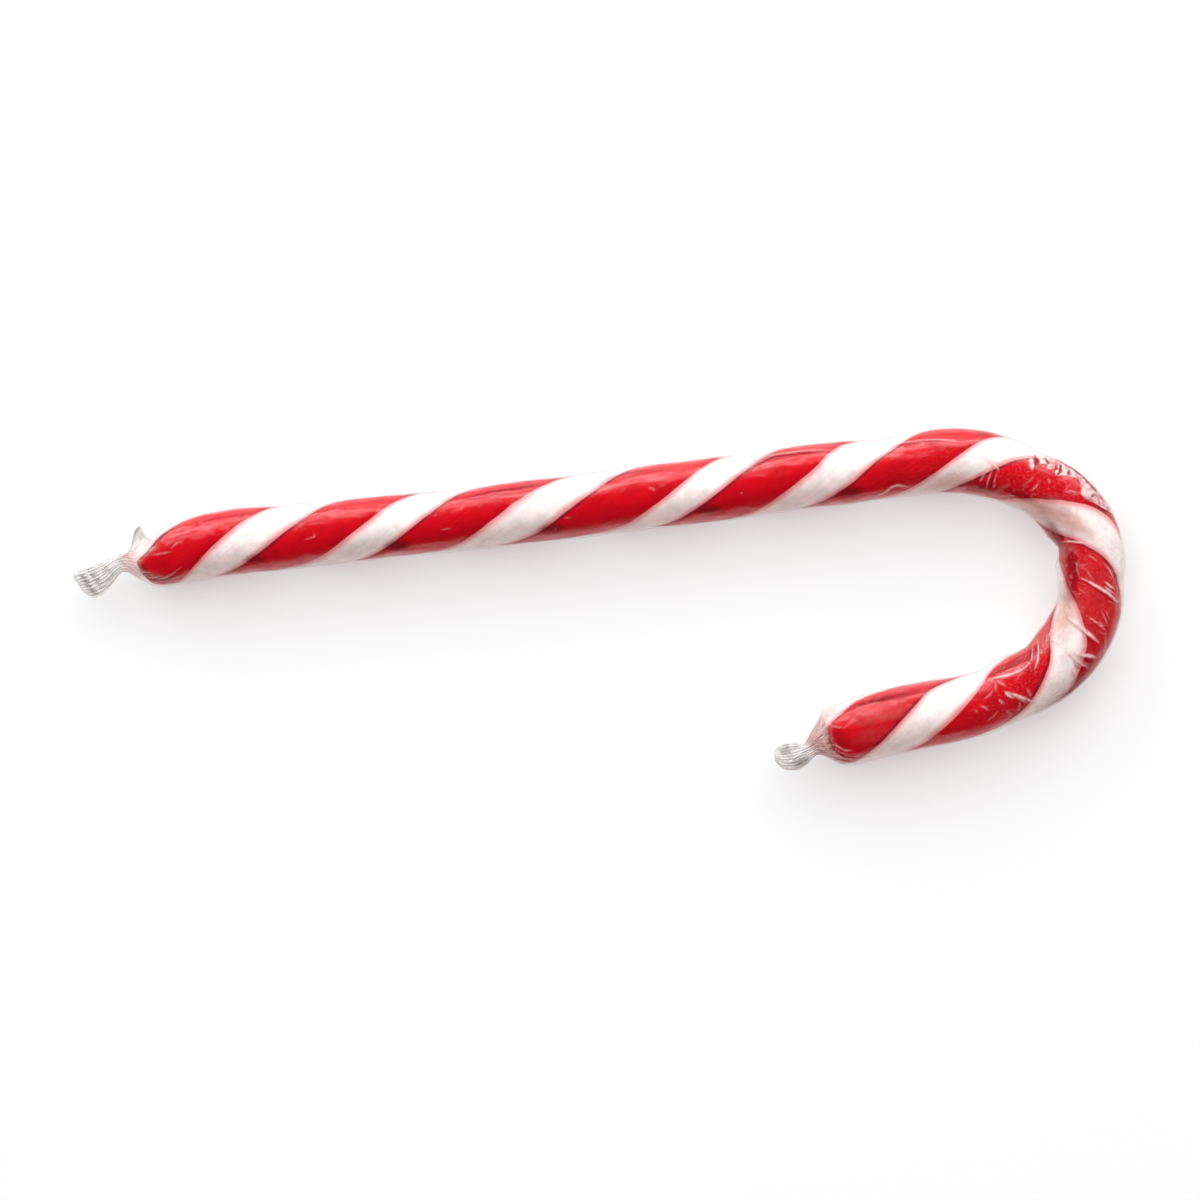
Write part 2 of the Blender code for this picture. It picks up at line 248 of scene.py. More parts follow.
# How far the film reaches to the left and to the right of the line: loose and full round the
# bend, tighter along the shaft.
GIRTHS = (
    (16.0, 4.74, 4.66), (20.0, 4.58, 4.72), (30.0, 4.62, 4.50), (36.0, 4.56, 4.28),
    (43.0, 4.24, 4.46), (50.0, 4.46, 4.48), (56.0, 4.54, 4.40), (62.0, 4.42, 4.52),
    (70.0, 4.64, 4.50), (74.0, 4.68, 4.44), (79.0, 4.50, 4.58), (84.0, 4.52, 4.68),
    (88.0, 4.46, 4.64), (93.0, 4.76, 4.46), (97.0, 4.70, 4.34), (102.0, 4.56, 4.54),
    (107.5, 4.04, 4.48), (110.5, 4.40, 4.40), (114.0, 4.82, 4.44), (121.0, 4.86, 4.52),
    (126.0, 4.52, 4.54), (128.0, 4.18, 4.46), (130.0, 4.78, 4.36), (134.0, 5.08, 4.72),
    (137.0, 4.96, 4.80), (140.0, 4.98, 4.18), (143.6, 4.86, 5.06), (146.2, 4.42, 4.84),
    (150.0, 5.02, 4.46), (154.0, 5.08, 4.84), (157.0, 5.04, 4.94), (161.2, 4.80, 4.40),
    (165.0, 4.64, 4.82), (168.0, 4.44, 4.68), (170.2, 4.54, 4.18), (173.0, 4.68, 4.42),
    (178.0, 4.70, 4.72), (184.0, 4.82, 4.80), (188.0, 4.76, 4.66),
)  # fmt: skip
FILM_GAP = 0.07  # between the candy and the film
CANDY_SLACK = (0.24, 0.04)  # how much fuller than the shaft the candy may be, left and right
FILM_DIP = 0.14  # how far the film sinks over a white strand on the top
DIP_START = 3.2  # half thickness from which it sinks, and how much more until it sinks fully
DIP_EASE = 1.2

# What can be seen from above, where creases, patches and the bands of painted shade are drawn.
SEEN_COSINE = -0.1  # of the angle from the top, at its lowest
OUT_OF_SIGHT = 99.0  # how far across what lies lower is taken to be

# Creases in the film, as seen from above, drawn bright: partly the film's own whitening in a
# crease, partly painted highlight. Width, height, whiteness, and the points it runs through, each a
# distance along the line and how far to its left.
CREASES = (
    (0.09, 0.03, 0.34, ((2.8, 0.95), (4.2, 0.65), (5.6, 0.45))),
    (0.09, 0.03, 0.28, ((5.7, 0.9), (6.4, 1.3), (7.1, 1.7))),
    (0.09, 0.02, 0.17, ((24.4, -0.7), (25.9, -0.45), (26.1, 0.4))),
    (0.11, 0.02, 0.17, ((46.8, 1.2), (47.2, 1.5), (47.5, 1.9))),
    (0.09, 0.02, 0.17, ((43.8, -1.25), (44.8, -1.2), (45.4, -1.3))),
    (0.14, 0.05, 0.70, ((59.4, -3.2), (59.9, -2.9), (60.2, -2.4))),
    (0.09, 0.02, 0.16, ((61.3, -1.5), (61.8, -1.6), (62.4, -1.6))),
    (0.13, 0.03, 0.20, ((73.6, 1.4), (74.1, 1.1), (74.6, 0.8))),
    (0.10, 0.04, 0.45, ((80.4, -3.9), (81.5, -3.5), (82.6, -3.05))),
    (0.09, 0.02, 0.24, ((86.4, -1.1), (86.6, -1.15), (86.8, -1.2))),
    (0.10, 0.04, 0.35, ((85.6, 1.3), (88.6, 2.5), (91.4, 3.75), (95.0, 3.75), (101.8, 3.4))),
    (0.12, 0.04, 0.45, ((99.5, -4.0), (100.6, -3.8))),
    (0.12, 0.03, 0.50, ((103.4, -3.3), (103.7, -3.25))),
    (0.13, 0.08, 0.70, ((104.8, -4.05), (106.6, -3.5), (107.8, -2.8), (108.6, -2.65),
                        (109.6, -2.95), (110.8, -3.4))),
    (0.12, 0.04, 0.35, ((108.2, 3.15), (112.0, 3.3), (117.5, 2.9))),
    (0.12, 0.03, 0.35, ((116.6, 2.4), (117.1, 3.1))),
    (0.12, 0.05, 0.45, ((118.0, -4.2), (118.6, -3.7), (119.4, -3.2))),
    (0.24, 0.10, 0.85, ((121.2, 0.95), (122.4, 0.3), (123.5, -0.4))),
    (0.12, 0.08, 0.45, ((122.5, -0.5), (122.35, -2.2), (122.2, -4.1))),
    (0.11, 0.08, 0.42, ((123.4, -0.5), (123.3, -2.0), (123.6, -3.4), (123.3, -4.2))),
    (0.36, 0.10, 0.95, ((127.0, 2.9), (127.4, 2.2), (127.75, 1.3))),
    (0.12, 0.05, 0.40, ((129.0, -1.5), (129.3, -0.6), (129.5, 0.2))),
    (0.12, 0.04, 0.30, ((130.2, 1.3), (130.8, 0.75))),
    (0.11, 0.04, 0.38, ((133.2, 1.6), (134.3, 2.1))),
    (0.11, 0.04, 0.32, ((133.0, 1.2), (133.9, 1.6))),
    (0.16, 0.14, 0.65, ((138.7, -4.0), (139.4, -2.9), (140.2, -1.6), (141.0, -0.3))),
    (0.12, 0.06, 0.45, ((142.4, -2.5), (144.4, -2.45), (146.2, -2.2))),
    (0.12, 0.06, 0.50, ((143.0, 1.9), (144.3, 2.7), (145.4, 3.3))),
    (0.12, 0.06, 0.45, ((143.9, 1.4), (145.0, 2.2), (146.0, 2.8))),
    (0.14, 0.08, 0.70, ((146.3, 1.4), (146.9, 2.3), (147.2, 3.1))),
    (0.14, 0.08, 0.65, ((146.9, 1.4), (147.4, 2.1), (147.6, 2.9))),
    (0.20, 0.18, 0.85, ((145.9, -2.0), (146.5, -0.8), (147.1, 0.4), (147.8, 2.0), (148.5, 3.3),
                        (148.6, 3.8), (148.2, 4.1))),
    (0.10, 0.05, 0.45, ((151.4, -0.2), (151.8, 1.5), (152.3, 3.3))),
    (0.10, 0.04, 0.35, ((150.0, 2.2), (150.9, 3.1))),
    (0.26, 0.10, 0.90, ((152.6, -2.9), (153.1, -1.0), (153.5, 0.7), (153.7, 1.9), (153.9, 2.9))),
    (0.12, 0.06, 0.55, ((154.3, 4.1), (154.9, 4.8))),
    (0.24, 0.10, 0.90, ((155.5, 4.0), (155.9, 2.9), (156.4, 1.8), (156.8, 0.9))),
    (0.14, 0.08, 0.80, ((157.2, -0.5), (157.3, 1.4), (157.2, 3.0), (157.0, 4.1))),
    (0.16, 0.06, 0.70, ((158.4, 2.0), (158.8, 3.3))),
    (0.14, 0.06, 0.60, ((157.0, -1.4), (157.4, -3.2))),
    (0.14, 0.10, 0.75, ((158.9, -4.2), (160.3, -2.9), (161.5, -1.9), (162.6, -1.25))),
    (0.12, 0.08, 0.65, ((160.2, -4.1), (161.4, -3.1), (162.6, -2.35))),
    (0.20, 0.08, 0.55, ((162.5, -2.3), (164.5, -2.1), (166.5, -2.25), (169.4, -2.9))),
    (0.15, 0.12, 0.85, ((164.5, 3.3), (165.6, 1.9), (166.8, 0.6), (168.0, -0.4))),
    (0.12, 0.07, 0.60, ((165.6, 2.6), (166.3, 1.5), (167.2, 0.6))),
    (0.16, 0.08, 0.85, ((167.1, 1.0), (167.6, 0.4), (168.0, -0.3))),
    (0.12, 0.05, 0.40, ((167.4, -1.0), (168.4, -2.2))),
    (0.11, 0.06, 0.50, ((168.7, 1.3), (169.1, 0.35))),
    (0.10, 0.05, 0.42, ((170.8, 1.5), (171.3, 0.75), (171.9, 0.35))),
    (0.10, 0.03, 0.28, ((172.4, 1.0), (172.9, 0.6))),
    (0.14, 0.06, 0.60, ((191.1, 2.45), (192.2, 2.0), (192.9, 1.1), (193.1, 0.2))),
    (0.10, 0.05, 0.45, ((191.6, 2.9), (192.8, 2.2), (193.5, 1.1), (193.7, 0.0))),
    (0.12, 0.07, 0.55, ((190.0, 3.9), (192.0, 3.5), (193.6, 2.3), (194.8, 0.9), (196.2, 0.25))),
    (0.12, 0.07, 0.55, ((190.8, 4.3), (192.9, 3.6), (194.6, 1.9), (196.4, 0.6))),
    (0.10, 0.06, 0.50, ((192.2, 3.6), (193.6, 2.7), (195.2, 0.9))),
    (0.12, 0.07, 0.50, ((193.9, 0.3), (194.9, -0.3), (196.2, 0.0))),
    (0.12, 0.07, 0.50, ((193.0, -2.5), (194.2, -1.5), (195.2, -0.9), (196.2, -0.4))),
    (0.12, 0.07, 0.50, ((192.9, -3.9), (194.0, -2.4), (195.5, -1.5), (196.4, -0.8))),
    (0.12, 0.07, 0.55, ((192.7, -4.3), (193.4, -3.3), (194.4, -2.3))),
    (0.10, 0.05, 0.40, ((191.2, -0.9), (192.4, -1.6), (193.2, -2.4))),
    (0.26, 0.08, 0.95, ((197.0, 0.1), (198.8, 0.6), (200.9, 1.3))),
    (0.13, 0.06, 0.90, ((196.9, 0.5), (198.5, 1.1), (200.0, 1.7))),
    (0.12, 0.06, 0.80, ((197.2, -0.3), (198.6, -0.1), (199.8, 0.5))),
    (0.12, 0.04, 0.32, ((-0.3, 1.3), (0.6, -0.6), (1.8, -2.3), (3.4, -2.75), (5.0, -2.5),
                        (6.2, -2.1))),
    (0.11, 0.04, 0.30, ((-1.4, 0.9), (-0.2, -0.9), (1.2, -2.5), (2.6, -3.3), (4.5, -3.5))),
)  # fmt: skip
# How bright the creases are drawn: partly the film's whitening, partly painted highlight.
CREASE_WHITENESS = 1.25
CREASE_REACH = 3  # in widths, how far from a crease it can be seen at all
CREASE_TAPER = 0.3  # share of the length over which it tapers at each tip
CREASE_TIP = (0.5, 0.4)  # width and strength at the tips, as shares

# The thin shade beside a bright crease: how far off and how wide, in widths, and how dark.
SHADE_OFFSET = 1.3
SHADE_WIDTH = 0.7
SHADE_DARKNESS = 0.35

# Folds, the same way, drawn dark with painted shade: width, depth, darkness, points.
FOLDS = (
    (0.22, 0.08, 0.78, ((-8.0, 2.2), (-7.6, 1.9), (-7.1, 1.5))),
    (0.24, 0.08, 0.80, ((-7.9, 1.5), (-7.4, 1.2), (-6.9, 0.8))),
    (0.22, 0.08, 0.80, ((-7.8, 0.7), (-7.3, 0.4), (-6.8, 0.1))),
    (0.22, 0.08, 0.76, ((-7.5, -0.1), (-7.0, -0.4), (-6.6, -0.6))),
    (0.18, 0.08, 0.66, ((-7.2, -0.8), (-6.8, -1.0), (-6.3, -1.2))),
    (0.15, 0.06, 0.60, ((-6.7, 1.9), (-6.2, 1.6), (-5.7, 1.3))),
    (0.15, 0.06, 0.58, ((-6.4, 1.1), (-5.9, 0.8), (-5.3, 0.6))),
    (0.15, 0.06, 0.58, ((-6.3, 0.3), (-5.7, 0.1), (-5.1, 0.0))),
    (0.15, 0.06, 0.55, ((-6.2, -0.5), (-5.6, -0.6), (-4.9, -0.6))),
    (0.16, 0.05, 0.45, ((-5.2, -0.1), (-4.2, 0.2), (-3.2, 0.7))),
    (0.14, 0.05, 0.40, ((-5.0, 1.0), (-4.0, 1.3), (-3.0, 1.5))),
    (0.12, 0.04, 0.50, ((0.3, 1.0), (0.4, 0.0), (1.0, -1.2), (2.1, -2.5), (3.6, -3.05),
                        (5.2, -2.9), (6.4, -2.4))),
    (0.10, 0.04, 0.40, ((-0.5, 0.9), (0.5, -1.1), (1.6, -2.5), (2.9, -3.2), (4.6, -3.35))),
    (0.13, 0.05, 0.45, ((-1.9, 2.5), (-1.5, 1.4), (-0.8, 0.2))),
    (0.10, 0.03, 0.45, ((0.9, 0.9), (2.6, 1.8), (4.6, 2.75), (6.6, 3.7), (8.4, 4.2))),
    (0.10, 0.04, 0.40, ((-2.9, 2.6), (-1.7, 2.2), (-0.4, 2.4), (0.7, 3.6))),
    (0.15, 0.05, 0.60, ((85.9, 1.2), (88.8, 2.3), (91.5, 3.45), (95.0, 3.5), (101.0, 3.2))),
    (0.15, 0.03, 0.55, ((47.4, 2.9), (51.0, 3.35), (55.0, 3.5), (59.4, 3.75))),
    (0.12, 0.03, 0.35, ((46.4, 2.3), (50.0, 2.75), (54.0, 2.8), (57.2, 3.0))),
    (0.12, 0.03, 0.35, ((66.5, 3.2), (70.0, 3.75), (75.0, 3.8))),
    (0.12, 0.03, 0.30, ((9.0, 3.4), (13.0, 3.7), (17.5, 3.9))),
    (0.14, 0.03, 0.40, ((108.4, 2.95), (112.0, 3.1), (117.0, 2.7))),
    (0.12, 0.03, 0.42, ((17.8, 4.15), (18.9, 4.25), (20.0, 4.35))),
    (0.12, 0.03, 0.42, ((38.8, 4.15), (39.9, 4.25), (41.0, 4.35))),
    (0.12, 0.03, 0.36, ((59.4, 4.05), (60.4, 4.15), (61.4, 4.25))),
    (0.12, 0.03, 0.36, ((82.0, 4.1), (83.0, 4.2), (84.0, 4.3))),
    (0.12, 0.03, 0.36, ((100.0, 4.1), (101.4, 4.2), (102.6, 4.3))),
    (0.12, 0.03, 0.36, ((119.6, 4.2), (120.8, 4.3), (122.0, 4.4))),
    (0.12, 0.06, 0.55, ((122.9, -0.6), (122.8, -2.2), (122.9, -4.0))),
    (0.16, 0.08, 0.80, ((127.3, 3.7), (127.9, 2.7), (128.0, 1.9))),
    (0.12, 0.06, 0.55, ((128.2, 4.2), (130.5, 4.45), (133.0, 4.5), (136.0, 4.45), (138.6, 4.3))),
    (0.13, 0.08, 0.62, ((128.6, 4.1), (129.3, 3.2), (129.1, 2.5))),
    (0.13, 0.08, 0.62, ((130.1, 4.1), (130.5, 3.1), (130.3, 2.6))),
    (0.15, 0.08, 0.72, ((130.7, 4.3), (131.1, 3.0), (130.9, 2.0))),
    (0.13, 0.08, 0.60, ((131.9, 4.2), (132.1, 3.3))),
    (0.13, 0.08, 0.55, ((133.5, 4.5), (133.7, 3.8))),
    (0.14, 0.08, 0.66, ((135.9, 4.3), (135.7, 3.0))),
    (0.14, 0.08, 0.66, ((138.4, 4.4), (137.6, 3.6), (136.6, 3.1))),
    (0.12, 0.06, 0.45, ((134.6, -3.6), (136.5, -3.9), (138.6, -3.9))),
    (0.12, 0.06, 0.40, ((142.0, -2.2), (144.2, -2.8), (146.0, -2.6))),
    (0.10, 0.06, 0.50, ((156.1, 3.9), (156.6, 2.7))),
    (0.10, 0.06, 0.55, ((157.6, 3.4), (157.9, 2.5), (157.6, 1.3))),
    (0.10, 0.06, 0.45, ((159.0, 4.5), (160.5, 4.35), (162.0, 4.5))),
    (0.12, 0.05, 0.35, ((163.0, -3.0), (166.0, -3.3), (169.0, -3.4))),
    (0.10, 0.05, 0.45, ((188.6, 4.1), (190.6, 3.85), (192.4, 3.0), (193.4, 1.8), (193.9, 0.4))),
    (0.10, 0.05, 0.50, ((191.6, 4.0), (193.6, 2.9), (195.0, 1.2), (196.4, 0.3))),
    (0.13, 0.05, 0.48, ((192.9, 2.2), (193.5, 1.1), (193.6, -0.2), (193.2, -1.4))),
    (0.10, 0.05, 0.55, ((193.8, 2.2), (194.5, 1.0), (194.9, -0.3))),
    (0.10, 0.05, 0.45, ((193.6, -1.2), (195.0, -0.8), (196.4, -0.3))),
    (0.10, 0.05, 0.45, ((193.3, -3.6), (194.4, -2.2), (195.8, -1.3))),
    (0.12, 0.05, 0.45, ((197.4, 1.5), (198.8, 2.0), (200.2, 1.9))),
    (0.12, 0.05, 0.50, ((197.3, 0.4), (199.2, 0.85), (200.8, 1.55))),
    (0.12, 0.05, 0.45, ((197.6, -0.7), (199.4, -0.7), (200.8, -0.3))),
    (0.12, 0.05, 0.40, ((199.2, -1.2), (199.9, -0.9), (200.5, -1.2))),
)  # fmt: skip

# The crumpled pocket on the outside of the bend: its ragged lower edge, as distance along and
# how far left, then how cloudy it is and how softly it starts.
POCKET_EDGE = (
    (127.4, 5.6), (127.9, 4.6), (128.3, 2.5), (129.1, 2.9), (129.6, 2.4), (130.4, 2.9),
    (130.9, 2.0), (131.6, 2.8), (132.4, 3.3), (133.4, 3.7), (134.2, 3.2), (134.7, 2.4),
    (135.3, 2.3), (136.4, 2.9), (137.6, 3.7), (138.7, 4.7), (139.8, 5.6),
)  # fmt: skip

# Patches where the film lies in many small folds: middle, half length, half width, cloudiness. The
# two at 135.5 and 153.5 along lay a tan haze on the lower side of the bend: partly dull film,
# partly painted shade.
CLOUDS = (
    ((121.5, -3.5), 3.5, 0.9, 0.30), ((127.0, -2.9), 3.5, 0.7, 0.28),
    ((136.5, -3.8), 3.0, 0.6, 0.22), ((144.0, -3.2), 6.0, 1.1, 0.34),
    ((156.5, -3.6), 3.0, 0.8, 0.22), ((160.5, -3.4), 2.5, 0.8, 0.30),
    ((161.5, 4.0), 5.0, 0.7, 0.30), ((149.0, 0.8), 9.0, 3.8, 0.05), ((1.8, 1.9), 2.0, 0.7, 0.60),
    ((135.5, -1.6), 4.0, 1.5, 0.34), ((153.5, -2.0), 4.0, 1.5, 0.34),
    ((118.0, -3.2), 3.0, 0.9, 0.25), ((192.3, -3.7), 1.2, 0.8, 0.62),
    ((185.0, -1.2), 5.0, 1.0, 0.13), ((187.0, 1.2), 4.0, 1.2, 0.06),
)  # fmt: skip
POCKET_CLOUD = 0.80
POCKET_SOFTNESS = 0.12
POCKET_OVERHANG = 0.08  # how far it goes down the side, as a cosine, and how ragged it ends
POCKET_RAGGED = 0.1
POCKET_FADE = 0.3

# Patches of painted shade laid in the film over the candy, the same way, with their darkness.
SHADES = (
    ((121.5, -3.3), 3.0, 0.7, 0.30), ((128.0, -2.7), 3.5, 0.5, 0.28),
    ((137.0, -3.8), 3.5, 0.7, 0.42), ((145.0, -3.2), 5.0, 0.9, 0.34),
    ((161.5, -3.2), 2.5, 0.8, 0.30), ((160.5, 4.4), 4.5, 0.5, 0.35),
    ((198.4, 1.5), 1.2, 0.7, 0.72), ((199.8, -0.8), 1.1, 0.7, 0.45),
    ((17.3, -2.8), 1.6, 0.7, 0.50), ((37.4, -2.9), 1.8, 0.7, 0.58),
    ((59.4, -2.9), 1.8, 0.7, 0.58), ((81.6, -2.9), 1.8, 0.7, 0.52),
    ((102.0, -2.9), 1.8, 0.7, 0.52), ((185.0, -3.45), 4.5, 0.35, 0.50),
    ((157.6, 3.9), 2.6, 0.5, 0.24), ((165.0, -3.4), 3.6, 0.45, 0.42),
    ((192.2, 0.3), 1.0, 1.8, 0.26), ((0.5, -0.5), 0.9, 0.9, 0.26),
)  # fmt: skip

# Bands on the lower side of the bend where the sugar is drawn darker and warmer: painted shade,
# with the look of the dull film over it there. Width, amount, points.
SHADE_AND_DULL_BANDS = (
    (1.35, 0.85, ((128.0, -3.8), (132.2, -2.8), (134.8, -1.9), (137.4, -0.9), (140.8, 0.7))),
    (1.25, 0.95, ((146.5, -4.1), (150.2, -3.2), (153.2, -2.8), (156.8, -3.1))),
    (1.10, 0.50, ((112.8, -4.0), (116.3, -2.9), (119.4, -1.8))),
)

# How finely crumpled the film is: distance and share.
CRUMPLED = (
    (0.0, 0.05), (7.0, 0.0), (100.0, 0.05), (120.0, 0.45), (130.0, 0.9), (168.0, 0.9),
    (176.0, 0.2), (190.0, 0.25),
)  # fmt: skip

# Small creases laid at random: how many, from where to where along, from what angle to what
# angle round the stick, and how white the whitest is.
CRINKLES = (
    (110, 118.0, 172.0, 100.0, 260.0, 0.75),
    (26, 121.0, 139.0, -60.0, 55.0, 0.18),
    (95, 139.0, 171.0, -78.0, 78.0, 0.34),
    (70, 117.0, 150.0, -82.0, -38.0, 0.42),
    (36, 10.0, 118.0, 105.0, 255.0, 0.45),
    (12, 172.0, 190.0, 105.0, 255.0, 0.45),
)
CRINKLE_SEED = 24
CRINKLE_HEADING = (70.0, 32.0)  # degrees: the usual one and its spread
CRINKLE_BEND = 0.16
CRINKLE_STEPS = 3
CRINKLE_STEP = (0.25, 1.1)
CRINKLE_WIDTH = (0.10, 0.16)
CRINKLE_HEIGHT = (0.02, 0.08)
CRINKLE_STRENGTH = (0.3, 1.0)

# Soft random lumps: how much they add at most, their size and the seed of their noise.
CANDY_LUMPS = (0.004, 9.0, 1)  # as a share of the radius
FINE_LUMPS = (0.025, 1.4, 2)
BROAD_LUMPS = (0.16, 4.0, 3)
LONG_RIPPLES = (0.06, 1.1, 7)
PLEAT_DRIFT = (1.8, 2.2, 4)
PATCHES = (1.0, 0.9, 5)
BREAKS = (0.7, 0.5, 6)
SEED_SHIFT = (7.3, 3.1, 5.7)  # what a seed moves the noise by
RIPPLE_STRETCH = (0.2, 1.0, 1.0)  # the ripples run along the film
RIPPLE_END = 150  # degrees from the top
DEEPEST_LUMP = 0.04
BROKEN_SHARE = 0.95  # how much of a crease shows where it isn't broken up
BROKEN_LIMITS = (0.4, 1.0)

# --- colours that stay the same, and the stage ---

PURE_WHITE = (1.0, 1.0, 1.0)
STREAK_TONE = (0.72, 0.68, 0.69)
BLOTCH_TONE = (0.66, 0.64, 0.65)
BUNCHED_SHADE = (0.40, 0.385, 0.37)
# Colours where no candy is behind: the crease's whitening and painted highlight, and painted shade.
CREASE_AND_HIGHLIGHT_AWAY = (0.93, 0.92, 0.90)  # a crease and a fold with no candy behind them
PAINTED_SHADE_AWAY = (0.17, 0.158, 0.142)
EDGE_WANDER = 0.022  # of the strands' edges, as a share of the half turn
CRUMPLE_SHARE = 0.075  # of the finest crumples in the film's relief
RIM_POWER = 4.0  # how narrow the darker rim is: higher is narrower
LEAST_COVER = 0.001  # keeps the shares of the cover from being divided by nothing
# The pale specks of the crumpled film are painted glints.
GLINT_PALENESS = 8.0  # how fast specks turn the cover as pale as a cloud
FLOOR_GRAIN = 0.985  # the darker tone of the floor's tooth, as a share of the paler

# The panels of light: where each is, what it faces, and its width and height, in metres.
PANELS = {
    "key panel": ((0.0, 0.72, 1.12), (0.0, 0.0, 0.0), (2.2, 1.6)),
    "warm fill": ((0.0, -1.0, 0.42), (0.0, 0.0, 0.0), (1.2, 0.4)),
    "side card": ((0.0, 0.6, 0.34), (0.0, 0.0, 0.34), (1.6, 0.515)),
    "low strip": ((0.0, 0.7, 0.2), (0.0, 0.0, 0.2), (1.6, 0.26)),
}
WARM_LIGHT = (1.0, 0.50, 0.42)
ROOM_BEHIND = 0.95  # brightness of the room seen straight behind everything

CAMERA_SHIFT = (-0.35, 4.19)  # from over the middle of the cane
SENSOR_WIDTH = 36.0
VIEW_TURN = math.radians(-6.54)


# --- the middle line and the strands ---


def eased(values, length, step):
    """The values with their corners rounded over a length, and their ends run on straight."""
    window = np.hanning(int(length / step) | 1)
    padded = np.pad(values, len(window) // 2, mode="reflect", reflect_type="odd")
    return np.convolve(padded, window / window.sum(), mode="valid")


def bell(distance, width):
    """1 at no distance, fading away softly past a width."""
    return np.exp(-((distance / width) ** 2))


def look_up(table, along):
    """The values that a table of distances and values gives at each distance along."""
    return np.interp(along, *zip(*table))


def middle_line():
    """The cane's middle line: distances, x, y and headings, in millimetres and radians."""
    lengths, turns = zip(*STRETCHES)
    along = np.arange(0.0, sum(lengths) + LINE_STEP / 2, LINE_STEP)
    knots = np.cumsum([0.0, *lengths])
    headings = np.radians(np.cumsum([START_HEADING, *turns]))
    heading = eased(np.interp(along, knots, headings), LINE_EASE, LINE_STEP)
    between = (heading[1:] + heading[:-1]) / 2
    x = np.concatenate(([0.0], np.cumsum(np.cos(between) * LINE_STEP)))
    y = np.concatenate(([0.0], np.cumsum(np.sin(between) * LINE_STEP)))
    low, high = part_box("candy_cane")
    middle = (low + high) / 2 / MM
    return along, x + middle.x + LINE_START[0], y + middle.y + LINE_START[1], heading


def beside_line(along, left, up):
    """Points in metres, a distance along the middle line, to its left and above it."""
    station, line_x, line_y, line_heading = middle_line()
    held = np.clip(along, station[0], station[-1])
    past = along - held
    heading = np.interp(held, station, line_heading)
    x = np.interp(held, station, line_x) + past * np.cos(heading) - left * np.sin(heading)
    y = np.interp(held, station, line_y) + past * np.sin(heading) + left * np.cos(heading)
    return np.column_stack((x, y, LINE_HEIGHT + up)) * MM


def strand_edge(along, knots):
    """The angle round the stick of one edge of the red strands, at each distance along."""
    fine = np.arange(knots[0][0], knots[-1][0], LINE_STEP)
    angles = eased(look_up(knots, fine), EDGE_EASE, LINE_STEP)
    return np.radians(np.interp(along, fine, angles))


def strand_share(angle, lower, upper):
    """The share of the way across a red and a white strand that an angle round the stick is at."""
    past_edge = np.mod(angle - lower, HALF_TURN)
    red_width = upper - lower
    in_white = (past_edge - red_width) / (HALF_TURN - red_width) * (1 - RED_SHARE)
    in_red = past_edge / red_width * RED_SHARE
    return np.where(past_edge < red_width, in_red, RED_SHARE + in_white)


def strand_bulge(share):
    """How far a strand pair stands up at each share of the way across it: 1 on the red's crest."""
    from_crest = np.clip((share - RED_SHARE / 2) / (RED_SHARE / 2), -1, 1)
    return np.where(share < RED_SHARE, np.cos(from_crest * HALF_TURN / 2) ** BULGE_POWER, 0.0)


def spaced(spans):
    """Distances along the stick, closer together in some spans than in others."""
    places = [np.arange(start, end, step) for start, end, step in spans]
    return np.concatenate([*places, [spans[-1][1]]])


def film_section(along):
    """Left offset, lean, reach to both sides, half thickness and pleat depth of the film."""
    stations = np.array(SHAFT_END + HOOK_END)
    fine = np.arange(stations[0, 0], stations[-1, 0] + STATION_STEP, STATION_STEP)
    columns = []
    for column in stations.T[1:]:
        values = eased(np.interp(fine, stations[:, 0], column), STATION_EASE, STATION_STEP)
        columns.append(np.interp(along, fine, values))
    left, lean, width, thickness, pleat = columns
    girth_places, *girths = zip(*GIRTHS)
    leftward, rightward = (
        width * np.interp(along, girth_places, girth, FILM_RADIUS, FILM_RADIUS) / FILM_RADIUS
        for girth in girths
    )
    thickness = np.maximum(thickness, THINNEST)
    return left, np.radians(lean), leftward, rightward, thickness, np.maximum(pleat, 0.0)


# --- meshes ---


def add_object(name, data):
    """A new object in the scene, at the origin."""
    made = bpy.data.objects.new(name, data)
    bpy.context.scene.collection.objects.link(made)
    return made


